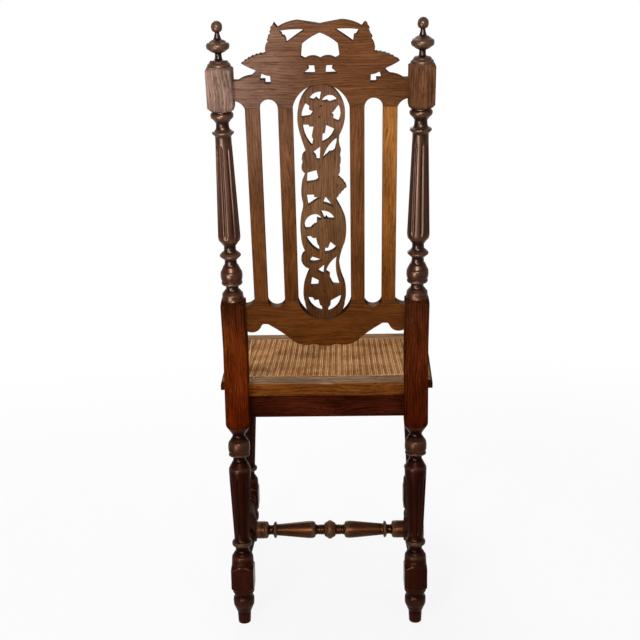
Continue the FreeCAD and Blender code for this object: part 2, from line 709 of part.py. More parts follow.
def seatTongueLevels(clearance):
    middle = (seatUnder + seatTop - caneThickness) / 2
    half = seatTongueThickness / 2 + clearance
    return middle - half, middle + half


def sideMemberInner():
    return seatSideWidth + caneLedge


def frontMemberRear():
    return caneFront() + caneLedge


def rearMemberFront():
    return caneRear() - caneLedge


def sideSeatTongue(clearance):
    # Tongue of the left member into the front member
    low, high = seatTongueLevels(clearance)
    front = frontMemberRear() - seatTongueLength - clearance
    inner = sideMemberInner() - caneLedge + clearance
    outer = mouldSetback + caneLedge - clearance
    return seatStrip(inner, outer, frontMemberRear(), front, low, high)


def rearSeatTongue(clearance):
    # Tongue of the rear member into the left member
    low, high = seatTongueLevels(clearance)
    inner = sideMemberInner()
    outer = inner - seatTongueLength - clearance
    rear = rearFace - caneLedge + clearance
    front = rearMemberFront() + caneLedge - clearance
    return seatStrip(inner, outer, rear, front, low, high)


def seatFrameFront():
    rear = frontMemberRear()
    plan = [
        Vector(seatX(rear), rear, seatUnder),
        Vector(seatX(seatFront()), seatFront(), seatUnder),
        Vector(-seatX(seatFront()), seatFront(), seatUnder),
        Vector(-seatX(rear), rear, seatUnder),
    ]
    body = moulded(rebated(prism(plan, seatThickness)))
    return body.cut([sideSeatTongue(fitClearance), mirrored(sideSeatTongue(fitClearance))])


def seatFrameSide():
    body = seatStrip(sideMemberInner(), 0, rearFace, frontMemberRear(), seatUnder, seatTop)
    body = moulded(rebated(body)).cut(rearSeatTongue(fitClearance))
    return body.fuse(sideSeatTongue(0)).removeSplitter()


def seatFrameRear():
    front = rearMemberFront()
    rear = rearFace + seatRearReach
    inner = sideMemberInner()
    plan = [
        Vector(clearHalf, rear, seatUnder),
        Vector(clearHalf, rearFace, seatUnder),
        Vector(seatX(rearFace) - inner, rearFace, seatUnder),
        Vector(seatX(front) - inner, front, seatUnder),
    ]
    plan += [Vector(-point.x, point.y, point.z) for point in reversed(plan)]
    body = rebated(prism(plan, seatThickness))
    return body.fuse([rearSeatTongue(0), mirrored(rearSeatTongue(0))]).removeSplitter()


def canePanel():
    return caneSeat(fitClearance, seatTop - caneThickness, seatTop)


def rearCornerBlock():
    # Three-cornered glue block between the rear rail and the left side rail
    far = rearFace - cornerBlockSize
    corner = sideApronX(rearFace) - apronThickness
    low = seatUnder - cornerBlockHeight
    plan = [
        Vector(corner, rearFace, low),
        Vector(sideApronX(far) - apronThickness, far, low),
        Vector(corner - cornerBlockSize, rearFace, low),
    ]
    return prism(plan, cornerBlockHeight)


def frontCornerBlock():
    # Glue block behind the left front leg, notched around the leg's inner corner
    near = frontApronY() + apronThickness / 2
    far = near + cornerBlockSize
    low = seatUnder - cornerBlockHeight
    plan = [
        Vector(frontClear, frontFace, low),
        Vector(frontClear, near, low),
        Vector(frontClear + stockHalf - cornerBlockSize, near, low),
        Vector(sideApronX(far) - apronThickness, far, low),
        Vector(sideApronX(frontFace) - apronThickness, frontFace, low),
    ]
    return prism(plan, cornerBlockHeight)


def sideStretcher():
    # Left side stretcher: two turned halves and a square block in the middle
    length = sideLength()
    half = (length - stretcherBlockLength) / 2
    rows = turned(sideStretcherShares, 0, half, stretcherRadius)
    end = stretcherRadius * stretcherEndShares[0]
    shoulder = stretcherBlockSize / 2 * cornerShare
    rows = [[Vector(end, 0, -overrun)]] + rows
    rows.append([Vector(shoulder, 0, half + pommelLength)])
    rows.append([Vector(shoulder, 0, length - half - pommelLength)])
    back = turned(sideStretcherShares, length, -half, stretcherRadius)
    rows += reversedRows(back)
    rows.append([Vector(end, 0, length + overrun)])
    size = stretcherBlockSize
    stock = Part.makeBox(size, size, length + 2 * overrun, Vector(-size / 2, -size / 2, -overrun))
    body = sideAxis(stock.common(lathe(rows)))
    between = box(Vector(0, frontFace, 0), Vector(frontSpacing, rearFace, seatUnder))
    body = body.common(between).fuse(sideTenons(0)).removeSplitter()
    return body.cut(crossTenon(fitClearance))


def reversedRows(rows):
    # The same profile walked the other way: each row ends where the one before it began
    points = [row[-1] for row in rows]
    back = [[points[-1]]]
    for index in range(len(rows) - 1, 0, -1):
        back.append(rows[index][:-1] + [points[index - 1]])
    return back


def crossStretcher():
    # Cross stretcher between the two side blocks, alike on both sides of its middle ball
    half = crossFace()
    rows = turned(crossStretcherShares, -half, half, stretcherRadius)
    end = stretcherRadius * stretcherEndShares[1]
    rows = [[Vector(end, 0, -half - overrun)]] + rows
    rows += reversedRows(turned(crossStretcherShares, half, -half, stretcherRadius))[1:]
    rows.append([Vector(end, 0, half + overrun)])
    body = acrossAxis(lathe(rows))
    size = stretcherBlockSize
    block = sideAxis(Part.makeBox(size, size, sideLength(), Vector(-size / 2, -size / 2, 0)))
    body = body.cut([block, mirrored(block)])
    return body.fuse([crossTenon(0), mirrored(crossTenon(0))]).removeSplitter()


def buildAll():
    parts = {}
    pairs = {
        "rear_post": rearPost(),
        "front_leg": frontLeg(),
        "slat_outer": slat(slatPlaces["outer"]),
        "slat_inner": slat(slatPlaces["inner"]),
        "side_seat_rail": sideSeatRail(),
        "seat_frame_side": seatFrameSide(),
        "rear_corner_block": rearCornerBlock(),
        "front_corner_block": frontCornerBlock(),
        "side_stretcher": sideStretcher(),
    }
    for name, shape in pairs.items():
        parts[name + "_left"] = shape
        parts[name + "_right"] = mirrored(shape)
    parts["crest_rail"] = crestRail()
    parts["lower_back_rail"] = lowerRail()
    parts["pierced_splat"] = piercedSplat()
    parts["rear_seat_rail"] = rearSeatRail()
    parts["front_seat_rail"] = frontSeatRail()
    parts["seat_frame_front"] = seatFrameFront()
    parts["seat_frame_rear"] = seatFrameRear()
    parts["cane_panel"] = canePanel()
    parts["cross_stretcher"] = crossStretcher()
    return parts


chair = buildAll()
whole = Part.makeCompound(list(chair.values())).optimalBoundingBox()
origin = Vector(whole.Center.x, whole.Center.y, whole.ZMin)
os.makedirs("parts", exist_ok=True)
for name, shape in chair.items():
    shape.translate(-origin)
    shape.exportStep("parts/" + name + ".step")
    print(name, shape.ShapeType, len(shape.Solids), shape.isValid(), round(shape.Volume))
print("size", whole.XLength, whole.YLength, whole.ZLength)
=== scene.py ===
from functools import partial
from math import atan2, ceil, cos, hypot, pi, radians, sin, tan

import bmesh
import bpy
import numpy as np
from mathutils import Matrix, Vector
from mathutils.geometry import tessellate_polygon
from numpy.linalg import norm


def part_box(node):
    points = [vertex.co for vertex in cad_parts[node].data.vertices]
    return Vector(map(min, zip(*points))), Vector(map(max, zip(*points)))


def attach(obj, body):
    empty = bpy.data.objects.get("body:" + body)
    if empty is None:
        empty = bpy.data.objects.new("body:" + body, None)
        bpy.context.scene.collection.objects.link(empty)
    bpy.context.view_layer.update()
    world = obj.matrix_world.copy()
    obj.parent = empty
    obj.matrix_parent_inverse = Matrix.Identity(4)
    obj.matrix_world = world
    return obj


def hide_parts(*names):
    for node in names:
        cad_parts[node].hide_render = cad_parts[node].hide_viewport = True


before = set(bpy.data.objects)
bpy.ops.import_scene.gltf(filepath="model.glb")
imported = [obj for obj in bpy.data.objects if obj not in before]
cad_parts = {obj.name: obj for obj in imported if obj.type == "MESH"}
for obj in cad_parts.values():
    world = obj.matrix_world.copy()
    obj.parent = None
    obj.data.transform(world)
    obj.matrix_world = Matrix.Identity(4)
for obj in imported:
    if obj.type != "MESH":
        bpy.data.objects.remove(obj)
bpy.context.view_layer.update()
mm = 0.001
link = bpy.context.collection.objects.link


# Node and mesh helpers

def linear(hexText):
    # sRGB hex to linear: below the knee a slope of 12.92, above it a power of 2.4
    parts = np.array([int(hexText[i:i + 2], 16) for i in (1, 3, 5)]) / 255
    values = np.where(parts <= 0.04045, parts / 12.92, ((parts + 0.055) / 1.055) ** 2.4)
    return (*values.tolist(), 1.0)


def fill(tree, node, inputs):
    # Inputs in socket order or by name: a value, a socket, or a node for its first open output
    for key, value in inputs.items() if isinstance(inputs, dict) else enumerate(inputs):
        if isinstance(value, bpy.types.Node):
            value = next(output for output in value.outputs if output.enabled)
        if isinstance(value, bpy.types.NodeSocket):
            tree.links.new(value, node.inputs[key])
        else:
            node.inputs[key].default_value = value


def add(tree, kind, inputs=(), stops=(), **settings):
    # One shader node with its settings and inputs; stops are the (place, colour) of a ramp
    made = tree.nodes.new("ShaderNode" + kind)
    for key, value in settings.items():
        setattr(made, key, value)
    fill(tree, made, inputs)
    for place, _ in stops[2:]:
        made.color_ramp.elements.new(place)
    for number, (place, colour) in enumerate(stops):
        mark = made.color_ramp.elements[number]
        mark.position, mark.color = place, linear(colour)
    return made


def newMaterial(name):
    made = bpy.data.materials.new(name)
    made.use_nodes = True
    tree = made.node_tree
    return made, tree, partial(add, tree), tree.nodes["Principled BSDF"]


def columns(*parts):
    # Sets coordinates side by side, spread to one shape
    return np.stack(np.broadcast_arrays(*parts), axis=-1)


def objectFrom(mesh, flatAngle=None):
    # Merges doubled points, and facets into flats where an angle is given
    work = bmesh.new()
    work.from_mesh(mesh)
    bmesh.ops.remove_doubles(work, verts=work.verts, dist=0.002 * mm)
    if flatAngle:
        bmesh.ops.dissolve_limit(work, angle_limit=radians(flatAngle), verts=work.verts, edges=work.edges)
    work.to_mesh(mesh)
    work.free()
    mesh.shade_smooth()
    made = bpy.data.objects.new(mesh.name, mesh)
    link(made)
    return made


def meshFrom(name, points, faces, finish=None, **values):
    # Finish numbers each face's material. Of the points' values, the ridge value is 1 on a rubbed ridge that also
    # takes a painted highlight and -1 in a grimy hollow that also takes painted shade, square is 1 on square stock,
    # and grain is the place in the straight board.
    mesh = bpy.data.meshes.new(name)
    mesh.from_pydata(points.reshape(-1, 3), [], faces)
    if finish is not None:
        mesh.polygons.foreach_set("material_index", finish.astype(np.int32))
    for key, value in values.items():
        kind, word = ("FLOAT_VECTOR", "vector") if value.shape[-1] == 3 else ("FLOAT", "value")
        mesh.attributes.new(key, kind, "POINT").data.foreach_set(word, value.ravel().astype(np.float32))
    return objectFrom(mesh)


def tubeFaces(rows, around, flip=False):
    # Quads of a grid whose second direction closes on itself
    low, here = np.arange(rows - 1)[:, None] * around, np.arange(around)
    after = (here + 1) % around
    quads = columns(low + here, low + after, low + around + after, low + around + here).reshape(-1, 4)
    return quads[:, ::-1] if flip else quads


def place(piece, node, slot, *materials):
    # A finished piece stands for its CAD node and rides with the chair
    for material in materials:
        piece.data.materials.append(material)
    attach(piece, "root")
    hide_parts(node)


# Oak and cane

oakLook = {
    # Noise: mm across and along the grain, detail and roughness. The sway bends the layers after it. All are coarser
    # than in real oak, so that they show at this size.
    "layers": {"sway": (40.0, 130.0, 1.0, 0.5), "fibre": (1.5, 28.0, 3.0, 0.55), "streak": (6.5, 140.0, 2.0, 0.55),
               "pore": (1.2, 13.0, 1.0, 0.55), "patch": (38.0, 90.0, 3.0, 0.55)},
    "swayReach": 24.0,  # mm
    "ringSpacing": 4.4, "waveRepeat": 0.314,  # mm between growth rings, and a wave texture's own repeat
    "ringStretch": 0.03,  # how little rings wander along the grain
    "ringWander": {"Distortion": 5.0, "Detail": 2.0, "Detail Scale": 0.4, "Detail Roughness": 0.5},
    "pith": (46.0, -33.0, 0.0),  # mm from the piece to the heart of the tree
    "streakShare": 0.45, "ringShare": 0.11,  # of the grain's tone
    # The least and greatest noise that count, and how far they darken and lighten, or smooth and roughen
    "lines": (0.37, 0.63, 0.36, 0.34), "patches": (0.34, 0.66, 0.2, 0.2), "rough": (0.3, 0.7, 0.05, 0.09),
    "poreSpan": (0.58, 0.74), "poreDepth": 0.55, "poreShade": "#160804",
    "rubbedSpan": (0.2, 0.9), "rubbedShade": "#80624c",  # of the ridge value on the points: rubbed wear with a painted highlight
    # Hollows: old polish and painted shade darken them
    "grimeSpan": (0.0, -0.8), "grimeDepth": 0.85, "grimeShade": "#0a0302",
    # The upper left is painted paler, as a reflection of light from the left
    "fadeAside": (-0.05, 0.19), "fadeAbove": (0.72, 0.98), "fadeShade": "#a98f82",  # metres, where the painted reflection lies
    "upward": (0.6, 0.95),  # z of the normal where dust and a painted sheen start and are full
    "markRim": (1.5, 1.2),  # from the outside of a mark to its inside
    "reliefDepth": 0.3,  # mm
    "sheen": "#ff9c64", "postSheen": "#ffd0b4", "legSheen": "#ffbc9c",  # varnish that reflects a little warm
}


def oakFinish(name, stain, axis=None, roughness=0.36, gloss=0.0, contrast=0.75, relief=0.25, rubbed=0.3, paleReflection=0.0,
              turned=1.0, sheen=oakLook["sheen"], topTint=None, marks=()):
    # Stained oak, sawn or turned and then varnished: fibres and growth rings along the board, short dark pores,
    # stain that is uneven in broad patches, rubbed thin with a painted highlight on the ridges, and dark with old
    # polish and painted shade in the hollows
    made, tree, put, shader = newMaterial(name)
    look = oakLook
    coords = put("TexCoord").outputs["Object"]
    where = put("SeparateXYZ", [coords]).outputs
    grain = put("Attribute", attribute_name="grain").outputs["Vector"]
    if axis:
        letters = {"X": "YZX", "Y": "XZY"}[axis]  # the last one runs along the grain
        grain = put("CombineXYZ", [where[letter] for letter in letters])
    layers = {}
    for layer, (across, along, detail, rough) in look["layers"].items():
        size = (1 / (across * mm), 1 / (across * mm), 1 / (along * mm))
        sized = put("Mapping", {"Vector": grain, "Scale": size})
        layers[layer] = put("TexNoise", {"Vector": sized, "Scale": 1.0, "Detail": detail, "Roughness": rough})
        if layer == "sway":
            sway = put("VectorMath", [layers[layer].outputs["Color"], (0.5, 0.5, 0.5)], operation="SUBTRACT")
            reach = (look["swayReach"] * mm, look["swayReach"] * mm, 0.0)
            grain = put("VectorMath", [sway, reach, grain], operation="MULTIPLY_ADD")
    heart = put("Mapping", {
        "Vector": grain, "Location": [v * mm for v in look["pith"]], "Scale": (1.0, 1.0, look["ringStretch"])})
    rings = put("TexWave", {
        "Vector": heart, "Scale": look["waveRepeat"] / (look["ringSpacing"] * mm), **look["ringWander"],
    }, wave_type="RINGS", rings_direction="Z", wave_profile="SIN").outputs["Fac"]
    fine = put("Mix", {"Factor": look["streakShare"], "A": layers["fibre"], "B": layers["streak"]})
    tone = put("Mix", {"Factor": look["ringShare"], "A": fine, "B": rings})

    low, high = min(stain), max(stain)
    level = put("MapRange", [where["Z"], low * mm, high * mm])
    colour = put("ValToRGB", [level], stops=[((z - low) / (high - low), shade) for z, shade in stain.items()])
    coats = []  # over the stain: how much of each, its colour and how it is laid on
    # A painted reflection: the upper left of the back is mixed towards a pale shade
    if paleReflection:
        aside = put("MapRange", [where["X"], *look["fadeAside"], 0.0, paleReflection], interpolation_type="SMOOTHSTEP")
        above = put("MapRange", [where["Z"], *look["fadeAbove"]], interpolation_type="SMOOTHSTEP")
        coats.append((put("Math", [aside, above], operation="MULTIPLY"), linear(look["fadeShade"]), "MIX"))
    if topTint:
        # Dust and sitting wear on faces that look up, with a painted sheen there too
        facing = put("SeparateXYZ", [put("NewGeometry").outputs["Normal"]]).outputs["Z"]
        coats.append((put("MapRange", [facing, *look["upward"]]), linear(topTint), "MIX"))
    shades = []
    for value, key in ((tone, "lines"), (layers["patch"], "patches")):
        least, most, darker, paler = look[key]
        shades.append(put("MapRange", [value, least, most, 1 - darker * contrast, 1 + paler * contrast]))
    shading = put("Math", shades, operation="MULTIPLY")
    square = put("Attribute", attribute_name="square").outputs["Fac"]
    plain = put("MapRange", {"Value": square, "To Min": turned})
    coats.append((1.0, put("Mix", {"Factor": plain, "A": 1.0, "B": shading}), "MULTIPLY"))
    wornAndLit = put("Attribute", attribute_name="wear").outputs["Fac"]
    # Pores, rubbed wear with a painted highlight on the ridges, and old polish with painted shade in the hollows
    for value, word, depth in ((layers["pore"], "pore", look["poreDepth"] * contrast), (wornAndLit, "rubbed", rubbed),
                               (wornAndLit, "grime", look["grimeDepth"])):
        amount = put("MapRange", [value, *look[word + "Span"], 0.0, depth])
        coats.append((amount, linear(look[word + "Shade"]), "MIX"))
    for middle, size, shade, depth in marks:
        # A pin hole, or a worn chip with a painted highlight: an ellipsoid round its middle, in mm, with a ragged rim
        near = put("Mapping", {"Vector": coords, "Scale": [1 / (s * mm) for s in size],
                               "Location": [-m / s for m, s in zip(middle, size)]})
        gap = put("VectorMath", [near], operation="LENGTH")
        ragged = put("Math", [gap, layers["fibre"]], operation="ADD")
        coats.append((put("MapRange", [ragged, *look["markRim"], 0.0, depth]), linear(shade), "MIX"))
    for amount, shade, way in coats:
        colour = put("Mix", {"Factor": amount, "A": colour, "B": shade}, data_type="RGBA", blend_type=way)

    least, most, smoother, rougher = look["rough"]
    surface = put("Math", [tone, layers["pore"]], operation="SUBTRACT")
    fill(tree, shader, {
        "Base Color": colour,
        "Roughness": put("MapRange", [layers["patch"], least, most, roughness - smoother, roughness + rougher]),
        "Normal": put("Bump", {"Height": surface, "Strength": relief, "Distance": look["reliefDepth"] * mm}),
        "Specular IOR Level": gloss, "Specular Tint": linear(sheen),
    })
    return made


caneLook = {
    "streak": (60.0, 2.2, 2.2), "age": 75.0,  # mm along and across a streak, and of the browner patches
    "ageShare": 0.5, "stops": (0.34, 0.5, 0.66), "roughness": 0.6, "relief": 0.3, "reliefDepth": 0.2,
    # The upper strands are painted paler, as lit, and the lower ones darker, as in shade
    "upper": ("#94663c", "#d09c6a", "#f0c08c"), "lower": ("#684226", "#9c6e44", "#c69262"),
}


def caneFinish(name, turn, shades):
    # Split rattan: dry matt bark, golden tan, streaked along each strand and browned with age
    made, tree, put, shader = newMaterial(name)
    look = caneLook
    coords = put("TexCoord").outputs["Object"]
    sized = put("Mapping", {"Vector": coords, "Rotation": (0.0, 0.0, radians(turn)),
                            "Scale": [v * mm for v in look["streak"]]}, vector_type="TEXTURE")
    strand = put("TexNoise", {"Vector": sized, "Scale": 1.0, "Detail": 2.0})
    age = put("TexNoise", {"Vector": coords, "Scale": 1 / (look["age"] * mm), "Detail": 3.0})
    tone = put("Mix", {"Factor": look["ageShare"], "A": strand, "B": age})
    fill(tree, shader, {
        "Base Color": put("ValToRGB", [tone], stops=list(zip(look["stops"], shades))),
        "Normal": put("Bump", {"Height": strand, "Strength": look["relief"], "Distance": look["reliefDepth"] * mm}),
        "Roughness": look["roughness"], "Specular IOR Level": 0.0,
    })
    return made


# Stains: mm above the floor and the shade there
legStainAndHighlight = {0: "#36170c", 110: "#2e0f06", 300: "#260601", 324: "#2a0b05", 334: "#3e2113", 350: "#3e2113",
            366: "#2c0d05", 390: "#4a1704"}  # a painted highlight makes the ball under the seat block paler
# The left post is painted paler, as lit from the left, and the right post darker, as in shade
litLeftStain = {366: "#3c1305", 392: "#5f2006", 520: "#662a0b", 616: "#432010", 680: "#462416",
             921: "#523527", 1004: "#4a3022", 1066: "#4a3022"}
shadedRightStain = {366: "#321006", 392: "#4a1907", 520: "#4e200b", 616: "#3c1d0e", 680: "#391c0f",
              921: "#412718", 1004: "#4a3022", 1066: "#4a3022"}
boardStain = {520: "#6a3810", 640: "#70401c", 800: "#754a28", 1066: "#764c30"}
paleStain = {620: "#80491a", 800: "#a2662c", 900: "#cc8544", 1066: "#cc8544"}
splatStain = {560: "#5a3216", 660: "#6e4526", 760: "#85603f", 940: "#8a6249", 975: "#6a4a38",
              1066: "#6a4a38"}
darkStain = {0: "#2e1108", 460: "#3e170a"}
# The sawn walls are darker than the faces, partly the wood's own tone and partly painted shade
wallStainAndShade = {520: "#3a1c0a", 1066: "#46301f"}


def evenStain(shade):
    return {0: shade, 1066: shade}


# Marks: the middle and the half sizes in mm, a shade and its strength
_, seatRear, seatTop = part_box("seat_frame_rear")[1] / mm
pinHoles = [((x, y, z), (1.7, 6.0, 1.7), "#080302", 0.95)
            for x, y, z in ((3.6, 252.4, 918.4), (0.1, 256.3, 935.3), (0.0, 185.3, 627.9))]
# A pale chip and a pale line on the seat's rear arris, partly worn wood and partly a painted highlight
seatWearAndHighlight = [((-2.0, seatRear, seatTop), (15.0, 3.0, 2.2), "#b8946f", 0.8),
            ((10.0, seatRear, seatTop), (110.0, 1.6, 1.4), "#94704c", 0.5)]

turning = {"relief": 0.08, "turned": 0.5}
backTurning = {"roughness": 0.31, "gloss": 0.11, "contrast": 1.5, "relief": 0.08, "turned": 0.35,
               "sheen": oakLook["postSheen"]}
board = {"gloss": 0.03, "contrast": 1.05}
apron = {"roughness": 0.4, "contrast": 1.6}
seat = {"roughness": 0.55, "contrast": 1.4, "topTint": "#8c6e54"}
finishes = {
    "legs": oakFinish("varnished_dark_oak_turned", legStainAndHighlight, roughness=0.26, gloss=0.035, contrast=1.0, rubbed=0.27,
                      sheen=oakLook["legSheen"], **turning),
    "sideways": oakFinish("varnished_dark_oak_side", darkStain, gloss=0.004, contrast=0.9, rubbed=0.15,
                          sheen=oakLook["legSheen"], **turning),
    "across": oakFinish("varnished_brown_oak_across", evenStain("#472b19"), roughness=0.28, gloss=0.07, contrast=0.9,
                        **turning),
    "apronAcross": oakFinish("stained_oak_apron_across", darkStain, axis="X", **apron),
    "apronSide": oakFinish("stained_oak_apron_side", darkStain, axis="Y", **apron),
    "rails": oakFinish("stained_oak_rails", boardStain, paleReflection=0.6, **board),
    "slats": oakFinish("stained_oak_slats", boardStain, paleReflection=0.35, **board),
    "paleSlat": oakFinish("stained_oak_pale_slat", paleStain, **board),
    "splat": oakFinish("stained_oak_splat", splatStain, marks=pinHoles, **board),
    "walls": oakFinish("sawn_oak_edges", wallStainAndShade, roughness=0.8, topTint="#7c6654"),
    "seatAcross": oakFinish("worn_oak_seat_across", evenStain("#764218"), axis="X", marks=seatWearAndHighlight, **seat),
    "seatSide": oakFinish("worn_oak_seat_side", evenStain("#402412"), axis="Y", **seat),
    "blocks": oakFinish("sawn_bare_oak", evenStain("#b08a5c"), axis="X", roughness=0.75, gloss=0.2),
}
# The left block's pale shade is a painted reflection; the left post also gets more of the painted highlight
for word, stain, shade, rubbed in (("left", litLeftStain, "#9c7c6c", 0.3), ("right", shadedRightStain, "#6a452d", 0.2)):
    back = oakFinish("varnished_oak_post_" + word, stain, rubbed=rubbed, **backTurning)
    finishes["post_" + word] = (  # from the foot to the finial
        finishes["legs"], oakFinish("varnished_oak_seat_post_" + word, stain, roughness=0.4, contrast=1.5, rubbed=0.0),
        back, oakFinish("varnished_oak_block_" + word, evenStain(shade), contrast=1.5, relief=0.08), back)
for word, turn, shades in (
        ("Along", 90.0, "upper"), ("Across", 0.0, "lower"), ("Left", 45.0, "lower"), ("Right", -45.0, "lower")):
    finishes["cane" + word] = caneFinish("split_rattan_" + word.lower(), turn, caneLook[shades])
print("finishes made", len(finishes))


# Turned pieces

line, bead, cove = "line", "bead", "cove"
sides = (("left", 1), ("right", -1))
lathe = {
    "around": 144,  # points round a turning
    "lineStep": 3, "curveStep": 1,  # mm between rows on straight runs, and on beads and coves
    "arris": 0.3,  # mm, how softly a shoulder meets the square
    "cornerPower": 22,  # higher makes the corners of the square sharper
    "stockShare": 1.03,  # the square of a block against the drawn one
    "squareFrom": 1.05, "squareSpan": 0.3,  # of the half stock, where a turning passes into a square
    "wearReach": 13, "wearStep": 0.5,  # mm of profile that a ridge is judged against, and its steps
    "wearRise": 3,  # mm that a ridge stands out to be fully rubbed and painted with a highlight
    "fluteCount": 8,
    "fluteStart": 33.75,  # degrees from +X to the first flute
    "fluteHalf": 9.5,  # degrees from a flute's middle to its edge
    "fluteDepth": 2.1, "fluteEnd": 7,  # mm, and mm of rounded end
    "fluteGrime": 0.55,  # how far old polish and painted shade darken a flute
    "starts": {"post": 700, "leg": 2300, "side": 4100, "cross": 5200},  # mm along the tree, for the grain
}


def scaledRows(shares, base, length, radius):
    # Shares: percent of the length and the radius, and the curve that leads there if it isn't straight
    return [(base + length * h / 100, radius * r / 100, *(curve or [line])) for h, r, *curve in shares]


def profileLine(rows):
    # Joins (height, radius, curve) rows. A bead is a quarter ellipse that swells outwards, a cove hollows inwards.
    heights, radii = [np.array([rows[0][0]])], [np.array([rows[0][1]])]
    for (h0, r0, _), (h1, r1, curve) in zip(rows, rows[1:]):
        step = lathe["lineStep"] if curve == line else lathe["curveStep"]
        count = max(2, ceil(hypot(h1 - h0, r1 - r0) / step))
        t = np.linspace(0, 1, count + 1)[1:]
        late, early = 1 - np.cos(t * pi / 2), np.sin(t * pi / 2)
        runsFirst = (curve == bead) == (r1 < r0)  # goes along the axis first and across it last
        along, across = (early, late) if runsFirst else (late, early)
        if curve == line:
            along, across = t, t
        heights.append(h0 + (h1 - h0) * along)
        radii.append(r0 + (r1 - r0) * across)
    return np.concatenate(heights), np.concatenate(radii)


def turnedGrid(rows, half, flutes=()):
    # Radius over (height, angle): the smaller of the lathe radius and the reach of the square stock, blended by
    # a soft minimum. The square is a high-power ellipse. A flute takes off depth * (1 - (offset / width)^2).
    height, radius = profileLine(rows)
    angle = np.linspace(0, 2 * pi, lathe["around"], endpoint=False)
    power, soft, step = lathe["cornerPower"], lathe["arris"], lathe["wearStep"]
    corners = abs(np.cos(angle)) ** power + abs(np.sin(angle)) ** power
    reach = half * lathe["stockShare"] / corners ** (1 / power)
    grid = -soft * np.logaddexp(-radius[:, None] / soft, -reach / soft)
    drawn = np.minimum(radius, half * lathe["squareFrom"])
    even = np.arange(height.min(), height.max() + 1, step)
    taps = int(lathe["wearReach"] / step) * 2 + 1
    smooth = np.pad(np.interp(even, height, drawn), taps // 2, mode="edge")
    smooth = np.convolve(smooth, np.ones(taps) / taps, mode="valid")
    # A ridge above the smoothed profile gets rubbing and a painted highlight, a hollow gets grime and painted shade
    ridge = (drawn - np.interp(height, even, smooth)) / lathe["wearRise"]
    wear = np.clip(ridge, -1, 1)[:, None] + 0 * grid
    spacing = 2 * pi / lathe["fluteCount"]
    offset = (angle - radians(lathe["fluteStart"]) + spacing / 2) % spacing - spacing / 2
    for low, high in flutes:
        inside = np.clip(np.minimum(height - low, high - height) / lathe["fluteEnd"], 0, 1)
        width = radians(lathe["fluteHalf"]) * np.sqrt(1 - (1 - inside) ** 2)
        scoop = np.clip(1 - (offset / np.maximum(width, 1e-6)[:, None]) ** 2, 0, None) * np.sqrt(inside)[:, None]
        grid = grid - lathe["fluteDepth"] * scoop
        wear = wear - lathe["fluteGrime"] * scoop
    square = np.clip((radius / half - lathe["squareFrom"]) / lathe["squareSpan"], 0, 1)
    return height, angle, grid, wear, square[:, None] + 0 * grid


def straightPath(surface, start, way, first, second=(0, 0, 1)):
    # start + height * way, with the same two directions across it at every row
    rows = surface[0][:, None]
    return rows * way + start, rows * 0 + first, rows * 0 + second


def turnedPiece(name, node, materials, surface, path, start, side=1, clip=None, splits=()):
    # Carries a turned surface along a path, in mm: centre + radius * (cos * first + sin * second), which the path
    # gives for each row. The grain keeps the piece's own straight measures. Each split starts the next material.
    height, angle, grid, wear, square = surface
    centre, first, second = (rows[:, None, :] for rows in path)
    level, outward = grid * np.cos(angle), grid * np.sin(angle)
    points = centre + level[..., None] * first + outward[..., None] * second
    if clip:
        clip(points)
    grain = columns(level * side, outward, height[:, None] + lathe["starts"][start] * side) * mm
    faces = tubeFaces(len(height), len(angle), flip=side < 0).tolist()
    finish = np.repeat(np.searchsorted(splits, height[:-1], side="right"), len(angle))
    points = points * [side, 1.0, 1.0] * mm
    place(meshFrom(name, points, faces, finish, wear=wear, square=square, grain=grain), node, "dark_oak", *materials)


